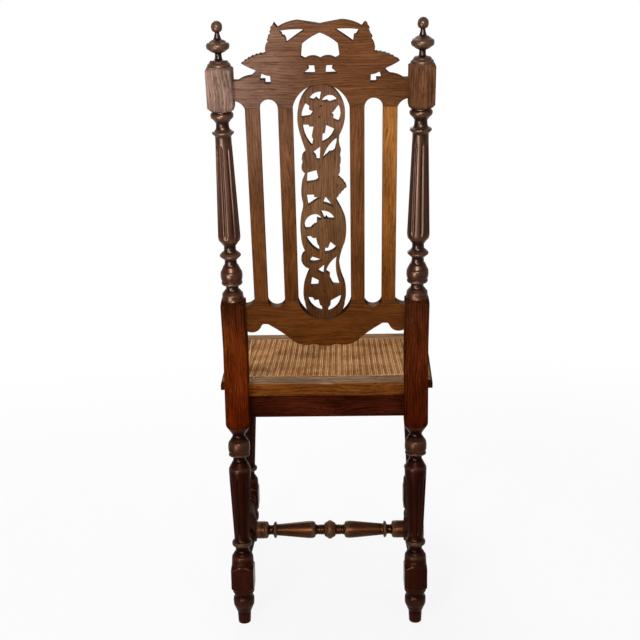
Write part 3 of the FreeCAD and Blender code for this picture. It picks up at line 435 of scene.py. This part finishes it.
post = {
    "footHeight": 66, "lowerBlock": 47, "legTurning": 264, "frontBlock": 57, "seatDrop": 153,
    "seatRise": 81, "backTurning": 330.5, "upperBlock": 69, "finial": 69,  # mm
    "rake": 13, "bendSpread": 16, "pathStep": 0.25,  # degrees, and mm along the post
    "noseShare": 1.02, "cornerShare": 1.46,  # of the half stock, how a block's ends are rounded off
    "lowerEnd": 1, "seatEnd": 0.97, "upperEnd": 0.93,  # of the half stock, how wide a block ends
    "lowerEase": (6, 12, 6, 12), "seatEase": (0, 0, 3, 7), "upperEase": (3, 7, 2, 4.5),  # mm
    "cone": (1, 13),  # mm up a seat block to its cone's end and its full corners
    "lowerReach": (4, 8), "seatReach": 6,  # mm that squares run on below and above
    "legFlutes": (22.2, 64.8), "backFlutes": (36.2, 83.2),  # percent of the turning
    "footShares": [
        (0, 0), (0, 46), (4, 57, bead), (27, 61), (36, 66.5, cove), (45, 79), (53, 89.5), (68, 97, bead),
        (78, 91, bead), (81, 86, cove), (86, 86), (92, 95, cove),
    ],
    "legShares": [
        (3, 100), (7.5, 93.5, bead), (10.3, 71), (11.3, 62, cove), (12.6, 62), (15, 81, cove), (16.6, 92, bead),
        (18.2, 84, bead), (19.8, 71.5, cove), (21.2, 70), (65.2, 97.5), (69, 99), (71.5, 96.5, bead), (76.3, 63),
        (77.3, 57, cove), (78.7, 57), (80.3, 85, cove), (81.1, 95.5, bead), (81.9, 90, bead), (82.3, 85),
        (86.2, 98.5, bead), (90.5, 86, bead), (93.4, 62), (94.3, 57, cove), (95.4, 57), (100, 98.5),
    ],
    "backShares": [
        (2.4, 95.5, bead), (3.4, 91.5), (4.4, 90.5), (5.1, 87, bead), (7, 63), (8, 54.5, cove), (9.1, 53.5),
        (10.3, 82, cove), (11, 90.5, bead), (11.7, 86, bead), (12.1, 79), (14.9, 94.5, bead), (17.4, 87, bead),
        (20.5, 63.5), (21.7, 53, cove), (23.1, 51), (24, 58, cove), (25.75, 88.5), (26.05, 90, bead),
        (26.5, 88, bead), (27.9, 65), (29.3, 51, cove), (30.5, 50.5), (31.6, 56, cove), (34, 84), (35, 91.5, bead),
        (36.5, 94.5, bead), (84.5, 66.5), (86.8, 65.5), (88, 72, cove), (88.9, 86), (89.5, 89, bead),
        (90.1, 83, bead), (92.5, 53, cove), (94.1, 52), (96.2, 79), (97.8, 93, bead), (98.9, 86, bead), (99.3, 80),
        (100, 82),
    ],
    "finialShares": [
        (0, 93), (3, 92), (6, 88, bead), (8.5, 79), (10.5, 73, cove), (13, 66, bead), (14.5, 50, bead),
        (19, 28, cove), (26.5, 26), (30.5, 40, cove), (33, 58), (37.5, 77), (45.5, 92, bead), (53, 75, bead),
        (59, 46), (64.5, 26, cove), (72.5, 18.5), (76, 25, cove), (87.2, 44, bead), (100, 0, bead),
    ],
}
postLow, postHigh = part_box("rear_post_left")
legLow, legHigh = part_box("front_leg_left")
half = (postHigh.x - postLow.x) / 2 / mm
postX, rearY = (postLow.x + postHigh.x) / 2 / mm, postLow.y / mm + half
frontX, frontY = (legLow.x + legHigh.x) / 2 / mm, (legLow.y + legHigh.y) / 2 / mm
lowerTop = post["footHeight"] + post["lowerBlock"]
legTop = lowerTop + post["legTurning"]
bend = legTop + post["seatDrop"]
backBase = bend + post["seatRise"]
backTop = backBase + post["backTurning"]
finialBase = backTop + post["upperBlock"]
seatUnder = legTop + post["frontBlock"]
nose, corner = half * post["noseShare"], half * post["cornerShare"]


def blockRows(base, length, half, topShare, ease):
    # Each end rounds the nose of the arris and then swings out past the corners. Ease is where the nose ends and
    # the full corners start, at the bottom and at the top.
    corner, nose = half * post["cornerShare"], half * post["noseShare"]
    top = base + length
    return [(base + ease[0], nose, bead), (base + ease[1], corner, line),
            (top - ease[3], corner, line), (top - ease[2], nose, line), (top, half * topShare, bead)]


def postPath(height):
    # Upright to the bend, then leaning: the lean grows evenly over a short bend and the axis is its running sum
    step = post["pathStep"]
    fine = np.arange(0, height.max() + 1, step)
    lean = radians(post["rake"]) * np.clip((fine - bend) / post["bendSpread"] + 0.5, 0, 1)
    back, up = (np.append(0, np.cumsum(part * step)[:-1]) for part in (np.sin(lean), np.cos(lean)))
    here = np.interp(height, fine, lean)
    centre = columns(postX, rearY + np.interp(height, fine, back), np.interp(height, fine, up))
    return centre, columns(1.0, 0.0, 0 * height), columns(0.0, np.cos(here), -np.sin(here))


below, above = post["lowerReach"]
legRows = scaledRows(post["footShares"], 0, post["footHeight"], half)
legRows += blockRows(post["footHeight"] - below, post["lowerBlock"] + below + above, half, post["lowerEnd"],
                     post["lowerEase"])
legRows += scaledRows(post["legShares"], lowerTop, post["legTurning"], half)
legRows += [(legTop + rise, radius, line) for rise, radius in zip(post["cone"], (nose, corner))]
frontRows = legRows + [(seatUnder, corner, line), (seatUnder, 0.0, line)]
seatLength = post["seatDrop"] + post["seatRise"] + post["seatReach"]
postRows = legRows + blockRows(legTop, seatLength, half, post["seatEnd"], post["seatEase"])[2:]
postRows += scaledRows(post["backShares"], backBase, post["backTurning"], half)
postRows += blockRows(backTop, post["upperBlock"], half, post["upperEnd"], post["upperEase"])
postRows += scaledRows(post["finialShares"], finialBase, post["finial"], half)
legFlutes = lowerTop + post["legTurning"] * np.array(post["legFlutes"]) / 100
backFlutes = backBase + post["backTurning"] * np.array(post["backFlutes"]) / 100
postSurface = turnedGrid(postRows, half, [legFlutes, backFlutes])
postSplits = (legTop, backBase + post["seatReach"], backTop, finialBase)
frontSurface = turnedGrid(frontRows, half, [legFlutes])
frontPath = straightPath(frontSurface, (frontX, frontY, 0), (0, 0, 1), (1, 0, 0), (0, 1, 0))
for word, side in sides:
    turnedPiece("turned_post_" + word, "rear_post_" + word, finishes["post_" + word], postSurface,
                postPath(postSurface[0]), "post", side, splits=postSplits)
    turnedPiece("turned_leg_" + word, "front_leg_" + word, [finishes["legs"]], frontSurface, frontPath, "leg", side)
print("posts and legs turned, rows", len(postSurface[0]), len(frontSurface[0]))


# Stretchers

stretcher = {
    "radius": 18.8, "block": 40, "blockLength": 48, "rise": 5, "overrun": 3,  # mm
    "sideShares": [
        (0, 78), (13, 78), (14.5, 70, bead), (19, 48, cove), (22.2, 54, cove), (23.6, 78, bead), (24.6, 80, bead),
        (26.2, 60, bead), (28.5, 59), (80, 93), (88, 84, bead), (92.5, 58, bead), (95, 58), (100, 86, cove),
    ],
    "crossShares": [
        (0, 93), (11.5, 93), (12.2, 88), (12.8, 93), (15, 86, bead), (16.5, 66, bead), (20, 50, cove),
        (23.6, 60, cove), (25, 84, bead), (26.2, 90, bead), (27.6, 74, bead), (28.5, 61), (70, 91.5), (74.5, 92),
        (80, 74, bead), (84.5, 50, cove), (86.2, 53, bead), (87.2, 49, bead), (88.9, 55, bead), (90.3, 52),
        (93, 74, cove), (94.5, 78), (98.5, 98), (100, 100, bead),
    ],
}
stretcherHeight = post["footHeight"] + post["lowerBlock"] / 2 + stretcher["rise"]
rearFace, frontFace = rearY - half, frontY + half
slant = atan2(frontX - postX, rearY - frontY)
sideLength = (rearFace - frontFace) / cos(slant)
halfBlock = stretcher["block"] / 2
blockX = (postX + frontX) / 2 - halfBlock / cos(slant)  # inner face of a side block
middleY = (rearFace + frontFace) / 2


def stretcherRows(shares, reach, length, block=()):
    # From end to end over the block. On the way back each curve turns round with the run that it shapes.
    rows, start = scaledRows(shares, 0, reach, stretcher["radius"]), -stretcher["overrun"]
    rows = [(start, 0.0, line), (start, *rows[0][1:]), *rows[1:]]
    back = rows[::-1]
    return [*rows, *block, *((length - h, r, curve) for (h, r, _), (_, _, curve) in zip(back[1:], back))]


def betweenLegs(points):
    # The shoulders end on the faces of the legs
    points[..., 1] = np.clip(points[..., 1], frontFace, rearFace)


def betweenBlocks(points):
    # The ends lie on the slanted inner faces of the side blocks
    limit = blockX + (middleY - points[..., 1]) * tan(slant)
    points[..., 0] = np.clip(points[..., 0], -limit, limit)


reach = (sideLength - stretcher["blockLength"]) / 2
endShare = stretcher["radius"] * stretcher["sideShares"][-1][1] / 100 / halfBlock
block = blockRows(reach, stretcher["blockLength"], halfBlock, endShare, post["lowerEase"])
sideSurface = turnedGrid(stretcherRows(stretcher["sideShares"], reach, sideLength, block), halfBlock)
sidePath = straightPath(sideSurface, (postX + half * tan(slant), rearFace, stretcherHeight),
                        (sin(slant), -cos(slant), 0), (cos(slant), sin(slant), 0))
for word, side in sides:
    turnedPiece("turned_side_stretcher_" + word, "side_stretcher_" + word, [finishes["sideways"]], sideSurface,
                sidePath, "side", side, betweenLegs)
crossSurface = turnedGrid(stretcherRows(stretcher["crossShares"], blockX, 2 * blockX), half * 2)
crossPath = straightPath(crossSurface, (-blockX, middleY, stretcherHeight), (1, 0, 0), (0, 1, 0))
turnedPiece("turned_cross_stretcher", "cross_stretcher", [finishes["across"]], crossSurface, crossPath, "cross",
            clip=betweenBlocks)
print("stretchers turned")


# Back boards

fret = {
    "rearEdge": 0.7, "frontEdge": 1.2,  # mm, how far the arrises are eased
    "edgeSteps": 3,
    "mitre": 0.6,  # least divisor of a mitred inset, which stops it at a sharp turn
    "cornerTurn": 40,  # degrees: a sharper turn of the outline stays a corner
    "longRun": 8,  # mm: a longer run of the outline stays straight
    "fine": 4,  # points for each run of the CAD outline
    "flatWithin": 0.02, "decimals": 2,  # mm that still count as on the rear face, and of the mm that tell points apart
    "doublings": 14,  # of the jumps along an outline
    "tipReach": 2.5, "tipShare": 0.15,  # mm beside a corner where the easing dies away, and what is left
    "sharpAngle": 40,
    "toothPitch": 6.6, "toothStep": 1.1,  # mm, the serrated edges of the vine leaves
    "edgeFar": 3,  # mm: farther ends belong to another loop
    # mm that teeth are cut, and mm across and up the board at the two ends of a leaf's edge
    "teeth": {
        "crest_rail": (2, (
            ((-83.5, 1066.7), (-71.2, 1096.1)), ((-123.7, 1036.2), (-85.2, 1051.7)), ((-55.1, 1071.3), (-60.7, 1086.2)),
            ((68, 1095.7), (81.8, 1065.9)), ((83.9, 1053), (120.4, 1039.6)))),
        "pierced_splat": (1.2, (
            ((1.5, 885.6), (21.9, 902.7)), ((24.5, 855), (38.3, 839.3)), ((38.3, 839.3), (21.8, 814.4)))),
    },
    "rimWear": [-0.25, -0.5, -0.5, -0.2, -0.2, -0.3, -0.1, 0],  # painted shade darkens the rear arris and the walls
    "sawnBands": [0, 1, 1, 1, 1, 1, 0],  # which bands of a rim are bare from the saw
    # name, node, finish, whether the grain runs across the back, and mm along the tree where it starts
    "boards": [("sawn_crest_rail", "crest_rail", "rails", True, 0),
               ("sawn_lower_rail", "lower_back_rail", "rails", True, 900),
               ("sawn_splat", "pierced_splat", "splat", False, 1500)],
    "slats": [("slat_outer_left", "slats", False, 2000), ("slat_inner_left", "slats", False, 2700),
              ("slat_inner_right", "slats", False, 3400), ("slat_outer_right", "paleSlat", False, 4100)],
}
rake = radians(post["rake"])
boardAxes = np.array([  # across to the right from behind, up the rake, out of the rear face
    [-1, 0, 0],
    [0, sin(rake), cos(rake)],
    [0, cos(rake), -sin(rake)],
])


# Along a closed loop: what comes next or came last, a length of 1, and a quarter turn to the left

def following(values):
    return np.roll(values, -1, axis=0)


def previous(values):
    return np.roll(values, 1, axis=0)


def unit(values):
    return values / np.maximum(norm(values, axis=1, keepdims=True), 1e-9)


def leftOf(values):
    return columns(-values[:, 1], values[:, 0])


def boardOutline(node):
    # The free edges of the CAD board's rear face, chained into closed loops with the wood on their left. An edge
    # is free where no other triangle runs it backwards. Chains are ordered by jumping 1, 2, 4, 8... points at once.
    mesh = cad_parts[node].data
    points, corners = np.empty(len(mesh.vertices) * 3, np.float32), np.empty(len(mesh.loops), np.int32)
    mesh.vertices.foreach_get("co", points)
    mesh.loops.foreach_get("vertex_index", corners)
    flat = (points.astype(float).reshape(-1, 3) / mm) @ boardAxes.T
    corners = corners.reshape(-1, 3)
    rear, front = flat[:, 2].max(), flat[:, 2].min()
    faces = corners[(rear - flat[corners, 2] < fret["flatWithin"]).all(axis=1)]
    spots, index = np.unique(np.round(flat[:, :2], fret["decimals"]), axis=0, return_inverse=True)
    edges = index.ravel()[faces[:, [[0, 1], [1, 2], [2, 0]]]].reshape(-1, 2)
    count = len(spots)
    free = edges[~np.isin(edges[:, 0] * count + edges[:, 1], edges[:, 1] * count + edges[:, 0])]
    number = np.arange(count)
    first, after, before = number.copy(), number.copy(), number.copy()
    after[free[:, 0]], before[free[:, 1]] = free[:, 1], free[:, 0]
    for _ in range(fret["doublings"]):
        first, after = np.minimum(first, first[after]), after[after]
    before = np.where(first == number, number, before)
    steps = (before != number).astype(int)
    for _ in range(fret["doublings"]):
        steps, before = steps + steps[before], before[before]
    order = free[np.lexsort((steps[free[:, 0]], first[free[:, 0]])), 0]
    return np.split(spots[order], np.nonzero(np.diff(first[order]))[0] + 1), rear, front


def smoothLoop(loop):
    # Hermite curves through the outline's points. A point's direction is that of the circle through it and its
    # neighbours, or of a long run beside it; at a corner each side takes the mirror image of its far direction.
    ahead = following(loop) - loop
    length = norm(ahead, axis=1)[:, None]
    way = ahead / length
    came, cameLength = previous(way), previous(length)
    turn = np.degrees(np.arccos(np.clip((way * came).sum(axis=1)[:, None], -1, 1)))
    corner = turn > fret["cornerTurn"]
    heading = came * length + way * cameLength
    heading = unit(np.where(cameLength > fret["longRun"], came, np.where(length > fret["longRun"], way, heading)))
    far, farCorner = following(heading), following(corner)
    straight = (length > fret["longRun"]) | (corner & farCorner)
    leave = np.where(corner, 2 * (way * far).sum(axis=1)[:, None] * way - far, heading)
    arrive = np.where(farCorner, 2 * (way * heading).sum(axis=1)[:, None] * way - heading, far)
    leave, arrive = (np.where(straight, way, part)[:, None, :] * length[:, None] for part in (leave, arrive))
    t = (np.arange(fret["fine"]) / fret["fine"])[None, :, None]
    start, end = loop[:, None, :], following(loop)[:, None, :]
    curve = (2 * t ** 3 - 3 * t ** 2 + 1) * start + (3 * t ** 2 - 2 * t ** 3) * end
    curve = curve + (t ** 3 - 2 * t ** 2 + t) * leave + (t ** 3 - t ** 2) * arrive
    isCorner = np.zeros((len(loop), fret["fine"]), bool)
    isCorner[:, 0] = corner[:, 0]
    return curve.reshape(-1, 2), isCorner.ravel()


def toothedLoop(curve, isCorner, depth, edges):
    # Cuts saw teeth into a curve between the given ends, by the shorter way round. Points are put in there first,
    # and the step at the back of a tooth counts as a corner.
    for ends in edges:
        run = np.append(0, np.cumsum(norm(np.diff(curve, axis=0), axis=1)))
        total = run[-1] + norm(curve[0] - curve[-1])
        apart = norm(curve - np.array(ends)[:, None, :], axis=2)
        if apart.min(axis=1).max() > fret["edgeFar"]:
            continue
        first, last = run[apart.argmin(axis=1)]
        if (last - first) % total > total / 2:
            first, last = last, first
        span = (last - first) % total
        extra = (first + np.arange(0, span, fret["toothStep"])) % total
        extra = extra[abs(extra[:, None] - run).min(axis=1) > fret["toothStep"] / 2]
        places = np.append(run, extra)
        order = np.argsort(places)
        places, isCorner = places[order], np.append(isCorner, np.zeros(len(extra), bool))[order]
        closed = np.concatenate([curve, curve[:1]])
        curve = columns(*(np.interp(places, np.append(run, total), closed[:, k]) for k in (0, 1)))
        inward = leftOf(unit(following(curve) - previous(curve)))
        along = (places - first) % total
        teeth = max(1, round(span / fret["toothPitch"]))
        cut = np.where(along < span, depth * (along / span * teeth % 1.0), 0.0)
        isCorner = isCorner | (abs(following(cut) - cut) > depth / 2)
        curve = curve + cut[:, None] * inward
    return curve, isCorner


def easedRim(loop, rear, front, depth, edges):
    # Carries an eased edge round a loop: a quarter round at the rear, the sawn wall and a quarter round in front.
    # The inset runs along the mitre of the two neighbouring runs and dies away beside a corner.
    curve, isCorner = toothedLoop(*smoothLoop(loop), depth, edges)
    way = following(curve) - curve
    length = norm(way, axis=1)
    way = unit(way)
    inward = leftOf(way + previous(way))
    inward = inward / np.maximum((inward ** 2).sum(axis=1)[:, None] / 2, fret["mitre"])
    run = np.append(0, np.cumsum(length)[:-1])
    apart = abs(run[:, None] - run[isCorner])
    apart = np.minimum(apart, length.sum() - apart).min(axis=1, initial=1e6)
    share = np.clip(apart / fret["tipReach"], fret["tipShare"], 1)
    turn = np.linspace(0, pi / 2, fret["edgeSteps"] + 1)
    inset = np.append(fret["rearEdge"] * (1 - np.sin(turn)), fret["frontEdge"] * (1 - np.sin(turn[::-1])))
    fall = np.append(fret["rearEdge"] * (np.cos(turn) - 1), fret["frontEdge"] * (1 - np.cos(turn[::-1])))
    grid = np.empty((len(inset), len(curve), 3))
    grid[..., :2] = curve + (inset[:, None] * share)[..., None] * inward
    grid[..., 2] = np.repeat([rear, front], len(turn))[:, None] + fall[:, None] * share
    return grid


def easedBoard(name, node, finish, lengthwise, start):
    # Rims round the outline and every piercing, and two flat faces filled between them
    loops, rear, front = boardOutline(node)
    rims = [easedRim(loop, rear, front, *fret["teeth"].get(node, (0.0, ()))) for loop in loops]
    rows, widths = len(rims[0]), [rim.shape[1] for rim in rims]
    firsts = np.cumsum([0] + [rows * width for width in widths])
    faces = [tubeFaces(rows, width, flip=True) + first for width, first in zip(widths, firsts)]
    faces = np.concatenate(faces).tolist()
    flat = np.concatenate([rim.reshape(-1, 3) for rim in rims])
    for row, flip in ((0, False), (rows - 1, True)):
        index = np.concatenate([first + row * width + np.arange(width) for width, first in zip(widths, firsts)])
        outlines = [list(map(Vector, (rim[row] * [1.0, 1.0, 0.0]).tolist())) for rim in rims]
        caps = index[np.array(tessellate_polygon(outlines))]
        one, two = (flat[caps[:, k], :2] - flat[caps[:, 0], :2] for k in (1, 2))
        clockwise = one[:, 0] * two[:, 1] < one[:, 1] * two[:, 0]
        faces += np.where((clockwise != flip)[:, None], caps[:, ::-1], caps).tolist()
    wear, sawn = (np.concatenate([np.repeat(fret[key], width) for width in widths]) for key in ("rimWear", "sawnBands"))
    sawn = np.append(sawn, np.zeros(len(faces) - len(sawn)))
    order = (1, 2, 0) if lengthwise else (0, 2, 1)
    grain = (flat[:, order] + [0.0, 0.0, start]) * mm
    piece = meshFrom(name, flat @ boardAxes * mm, faces, sawn, wear=wear, grain=grain)
    piece.data.set_sharp_from_angle(angle=radians(fret["sharpAngle"]))
    piece.modifiers.new("flat_faces", "WEIGHTED_NORMAL").keep_sharp = True
    place(piece, node, "brown_oak", finishes[finish], finishes["walls"])


for row in fret["boards"] + [("planed_" + slat[0], *slat) for slat in fret["slats"]]:
    easedBoard(*row)
print("back boards sawn")


# Seat rails, seat frame and corner blocks

seatBoards = {
    "edge": 0.8, "segments": 2, "flatAngle": 0.5, "edgeAngle": 32,  # mm and degrees
    "nodes": ("rear_seat_rail", "front_seat_rail", "side_seat_rail_left", "side_seat_rail_right", "seat_frame_front",
              "seat_frame_rear", "seat_frame_side_left", "seat_frame_side_right"),
}


def softenedBoard(name, node, slot, material):
    # The CAD board with its facets merged into flats and every arris eased
    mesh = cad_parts[node].data.copy()
    mesh.name = name
    mesh.materials.clear()
    made = objectFrom(mesh, seatBoards["flatAngle"])
    edgeAngle = radians(seatBoards["edgeAngle"])
    mesh.set_sharp_from_angle(angle=edgeAngle)
    easing = made.modifiers.new("eased_edges", "BEVEL")
    easing.width, easing.segments = seatBoards["edge"] * mm, seatBoards["segments"]
    easing.limit_method, easing.angle_limit = "ANGLE", edgeAngle
    easing.harden_normals, easing.use_clamp_overlap = True, False
    place(made, node, slot, material)


for node in seatBoards["nodes"]:
    word, slot, finish = ("planed_", "dark_oak", "apron") if "rail" in node else ("moulded_", "seat_oak", "seat")
    softenedBoard(word + node, node, slot, finishes[finish + ("Side" if "side" in node else "Across")])
for node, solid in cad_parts.items():
    if "corner_block" in node:
        solid.data.materials.clear()
        solid.data.materials.append(finishes["blocks"])
print("seat boards eased")


# Cane seat

cane = {
    "pitch": 11.6, "pairGap": 3.5,  # mm between the pairs of strands, and between the middles of a pair
    "width": 3.1, "thick": 1.3,
    "sides": (-0.5, 0, 0.5, 0), "lifts": (-0.1, -0.5, -0.1, 0.5),  # of the width and thickness, round a strand
    "drop": 1.3,  # mm from the panel's top down to the weave
    "wave": 0.8,  # mm that a strand rises and falls
    # mm that each kind of strand stands above the weave
    "alongRise": 0.9, "acrossRise": -0.2, "leftRise": 0.3, "rightRise": 0.6, "binderRise": 1.1,
    "diagonalWave": 0.5,  # of the wave
    "sag": 5,  # mm at the middle of the seat
    "stepsPerPitch": 6,
    "rearHalf": 143,  # mm, half width of the panel at its rear edge
    "lap": 6, "lapSpread": 9.6, "lapRise": 1.9,  # mm that the weave laps on to the side frames, and its rise there
    "margin": 1,  # mm left at the front corners
    "most": 60, "samples": 2400,  # pitches to either side, and points tried on a diagonal
    "binderWidth": 4.6, "binderInset": 2.6,
}
caneLow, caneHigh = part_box("cane_panel")
caneFront, caneRear = caneLow.y / mm, caneHigh.y / mm
caneFrontHalf, caneTop = caneHigh.x / mm, caneHigh.z / mm
pitch, gap, wave = cane["pitch"], cane["pairGap"] / 2, cane["wave"]
whole = np.arange(-cane["most"], cane["most"] + 1) * pitch


def caneHalf(y):
    # Half width of the weave, which narrows evenly from front to rear
    return cane["rearHalf"] + cane["lap"] + (caneFrontHalf - cane["rearHalf"]) * (caneRear - y) / (caneRear - caneFront)


def caneSurface(x, y):
    # The seat dips by sag * (1 - u^2) * (1 - v^2) over its two directions
    u = np.clip(x / caneHalf(y), -1, 1)
    v = np.clip((2 * y - caneFront - caneRear) / (caneRear - caneFront), -1, 1)
    lap = np.clip(1 - (caneHalf(y) - abs(x)) / cane["lapSpread"], 0, 1)
    return caneTop - cane["drop"] - cane["sag"] * (1 - u ** 2) * (1 - v ** 2) + cane["lapRise"] * lap


def strands(name, starts, ends, rise, finish, width=cane["width"]):
    # Each strand is a flat ribbon with a crowned top, four points round. rise(x) is its height above the dip.
    way = ends - starts
    length = norm(way, axis=1)
    keep = length > pitch
    starts, way, length = starts[keep], way[keep], length[keep]
    count = int(length.max() / pitch * cane["stepsPerPitch"]) + 1
    path = starts[:, None, :] + np.linspace(0, 1, count)[:, None] * way[:, None, :]
    across = leftOf(way) / length[:, None]
    level = caneSurface(path[..., 0], path[..., 1]) + rise(path[..., 0])
    points = np.empty((len(starts), count, 4, 3))
    points[..., :2] = path[:, :, None, :] + (np.array(cane["sides"]) * width)[:, None] * across[:, None, None, :]
    points[..., 2] = level[..., None] + np.array(cane["lifts"]) * cane["thick"]
    caps = np.array([[3, 2, 1, 0], np.arange(4) + 4 * count - 4])
    each = np.concatenate([tubeFaces(count, 4), caps])
    faces = each + (np.arange(len(starts)) * 4 * count)[:, None, None]
    place(meshFrom(name, points * mm, faces.reshape(-1, 4).tolist()), "cane_panel", "cane", finishes[finish])


def diagonals(name, lean, lift, finish):
    # Lines x = lean * (y - first row) + a whole number of pitches, cut where they leave the panel
    y = np.linspace(caneFront, caneRear, cane["samples"])
    x = lean * (y - rowsY[0]) + whole[:, None]
    x = x[(abs(x) < caneHalf(y)).any(axis=1)]
    inside, index = abs(x) < caneHalf(y), np.arange(len(x))
    first, last = inside.argmax(axis=1), len(y) - 1 - inside[:, ::-1].argmax(axis=1)
    if lean < 0:
        first, last = last, first
    starts, ends = (columns(x[index, spot], y[spot]) for spot in (first, last))
    strands(name, starts, ends, lambda x: lift + cane["diagonalWave"] * wave * np.cos(2 * pi * x / pitch), finish)


laneX = np.append(whole - gap, whole + gap)
laneX = laneX[abs(laneX) < caneHalf(caneFront) - cane["margin"]]
spread = (caneHalf(caneFront) - abs(laneX)) / (caneFrontHalf - cane["rearHalf"])
laneEnd = np.minimum(caneRear, caneRear - (1 - spread) * (caneRear - caneFront))
strands("cane_front_to_back", columns(laneX, caneFront), columns(laneX, laneEnd), lambda x: cane["alongRise"],
        "caneAlong")
rowsY = np.arange(caneFront + pitch / 2, caneRear, pitch)
rowY = np.append(rowsY - gap, rowsY + gap)
strands("cane_side_to_side", columns(-caneHalf(rowY), rowY), columns(caneHalf(rowY), rowY),
        lambda x: wave * np.sin(2 * pi * x / pitch) + cane["acrossRise"], "caneAcross")
diagonals("cane_diagonal_left", 1.0, cane["leftRise"], "caneLeft")
diagonals("cane_diagonal_right", -1.0, cane["rightRise"], "caneRight")
inset = cane["binderInset"]
rearX, foreX = caneHalf(caneRear) - inset, caneHalf(caneFront) - inset
corners = columns([-rearX, rearX, foreX, -foreX], [caneRear - inset] * 2 + [caneFront + inset] * 2)
strands("cane_binder", previous(corners), corners, lambda x: cane["binderRise"], "caneAlong", cane["binderWidth"])
print("cane woven")


# Floor, light and camera

studio = {
    "floorSize": 24, "floorDrop": 0.0003,  # metres
    "paper": "#f4f4f4", "paperRough": 0.9,
    "nearWhite": 0.88,  # how far the floor is lifted to white beside the chair
    "nearReach": 0.8, "farReach": 2.4,  # metres from the chair between which it turns to plain white
    "ambient": 0.26,
    "lamps": [
        # name, place and size in metres, watts, and whether it lights matt surfaces or only shows as a glint
        ("key_lamp", (1.2, 2.9, 1.5), 0.7, 38, True),
        ("fill_lamp", (-1.6, 2.7, 1.3), 0.5, 14, True),
        ("top_lamp", (0.4, -0.4, 2.9), 1.2, 21, True),
        ("front_lamp", (0.6, -2.4, 1.9), 1.2, 26, True),
        ("glint_lamp", (0.15, 2.4, 1.05), 0.9, 330, False),
        ("low_glint_lamp", (0.75, 1.4, 0.1), 0.6, 130, False),
    ],
    "aim": (0, 0.12, 0.62),
}


def seenRays(tree):
    # 1 for rays from the camera or from a glossy or clear surface
    path = add(tree, "LightPath").outputs
    some = add(tree, "Math", [path["Is Camera Ray"], path["Is Glossy Ray"]], operation="MAXIMUM")
    return add(tree, "Math", [some, path["Is Transmission Ray"]], operation="MAXIMUM")


def whiteFloor():
    # Matt white paper: it takes the chair's shadow nearby and runs out into the white background
    made, tree, put, shader = newMaterial("white_paper_floor")
    fill(tree, shader, {
        "Base Color": linear(studio["paper"]), "Roughness": studio["paperRough"], "Specular IOR Level": 0.0})
    away = put("VectorMath", [put("TexCoord").outputs["Object"]], operation="LENGTH")
    lifted = put("MapRange", [away, studio["nearReach"], studio["farReach"], studio["nearWhite"]],
                 interpolation_type="SMOOTHSTEP")
    glow = put("Emission", {"Color": linear("#ffffff"), "Strength": 1.0})
    amount = put("Math", [seenRays(tree), lifted], operation="MULTIPLY")
    fill(tree, tree.nodes["Material Output"], {"Surface": put("MixShader", [amount, shader, glow])})
    return made


floorX, floorY = np.array([[-1, 1, 1, -1], [-1, -1, 1, 1]]) * studio["floorSize"] / 2
floor = meshFrom("paper_floor", columns(floorX, floorY, -studio["floorDrop"]), [[0, 1, 2, 3]])
floor.data.materials.append(whiteFloor())

world = bpy.data.worlds.new("studio")
bpy.context.scene.world = world
world.use_nodes = True
sky = world.node_tree
ambient = add(sky, "Mix", {"Factor": seenRays(sky), "A": (studio["ambient"],) * 3 + (1.0,), "B": linear("#ffffff")},
              data_type="RGBA")
fill(sky, sky.nodes["Background"], {"Color": ambient})

for name, spot, size, watts, lightsMatt in studio["lamps"]:
    lamp = bpy.data.lights.new(name, "AREA")
    lamp.size, lamp.energy = size, watts
    holder = bpy.data.objects.new(name, lamp)
    holder.location = spot
    holder.visible_diffuse = lightsMatt
    holder.rotation_euler = (Vector(studio["aim"]) - Vector(spot)).to_track_quat("-Z", "Y").to_euler()
    link(holder)

view = {
    "eye": (-26.8, 1806.7, 881.8), "yaw": 1.252, "pitch": 10.631, "roll": 0.917,  # mm and degrees
    "focal": 956.7, "picture": 640, "sensor": 36,  # pixels, and mm
}
yaw, pitchDown, roll = (radians(view[key]) for key in ("yaw", "pitch", "roll"))
turns = [(pi + yaw, "Z"), (pi / 2 - pitchDown, "X"), (-roll, "Z")]
turn, tilt, lean = (Matrix.Rotation(angle, 4, axis) for angle, axis in turns)
lens = bpy.data.cameras.new("photo_camera")
lens.sensor_width = view["sensor"]
lens.lens = view["sensor"] * view["focal"] / view["picture"]
camera = bpy.data.objects.new("photo_camera", lens)
camera.matrix_world = Matrix.Translation(Vector(view["eye"]) * mm) @ turn @ tilt @ lean
link(camera)
bpy.context.scene.camera = camera
bpy.context.scene.view_settings.view_transform = "Standard"
print("studio set")

bpy.context.view_layer.update()
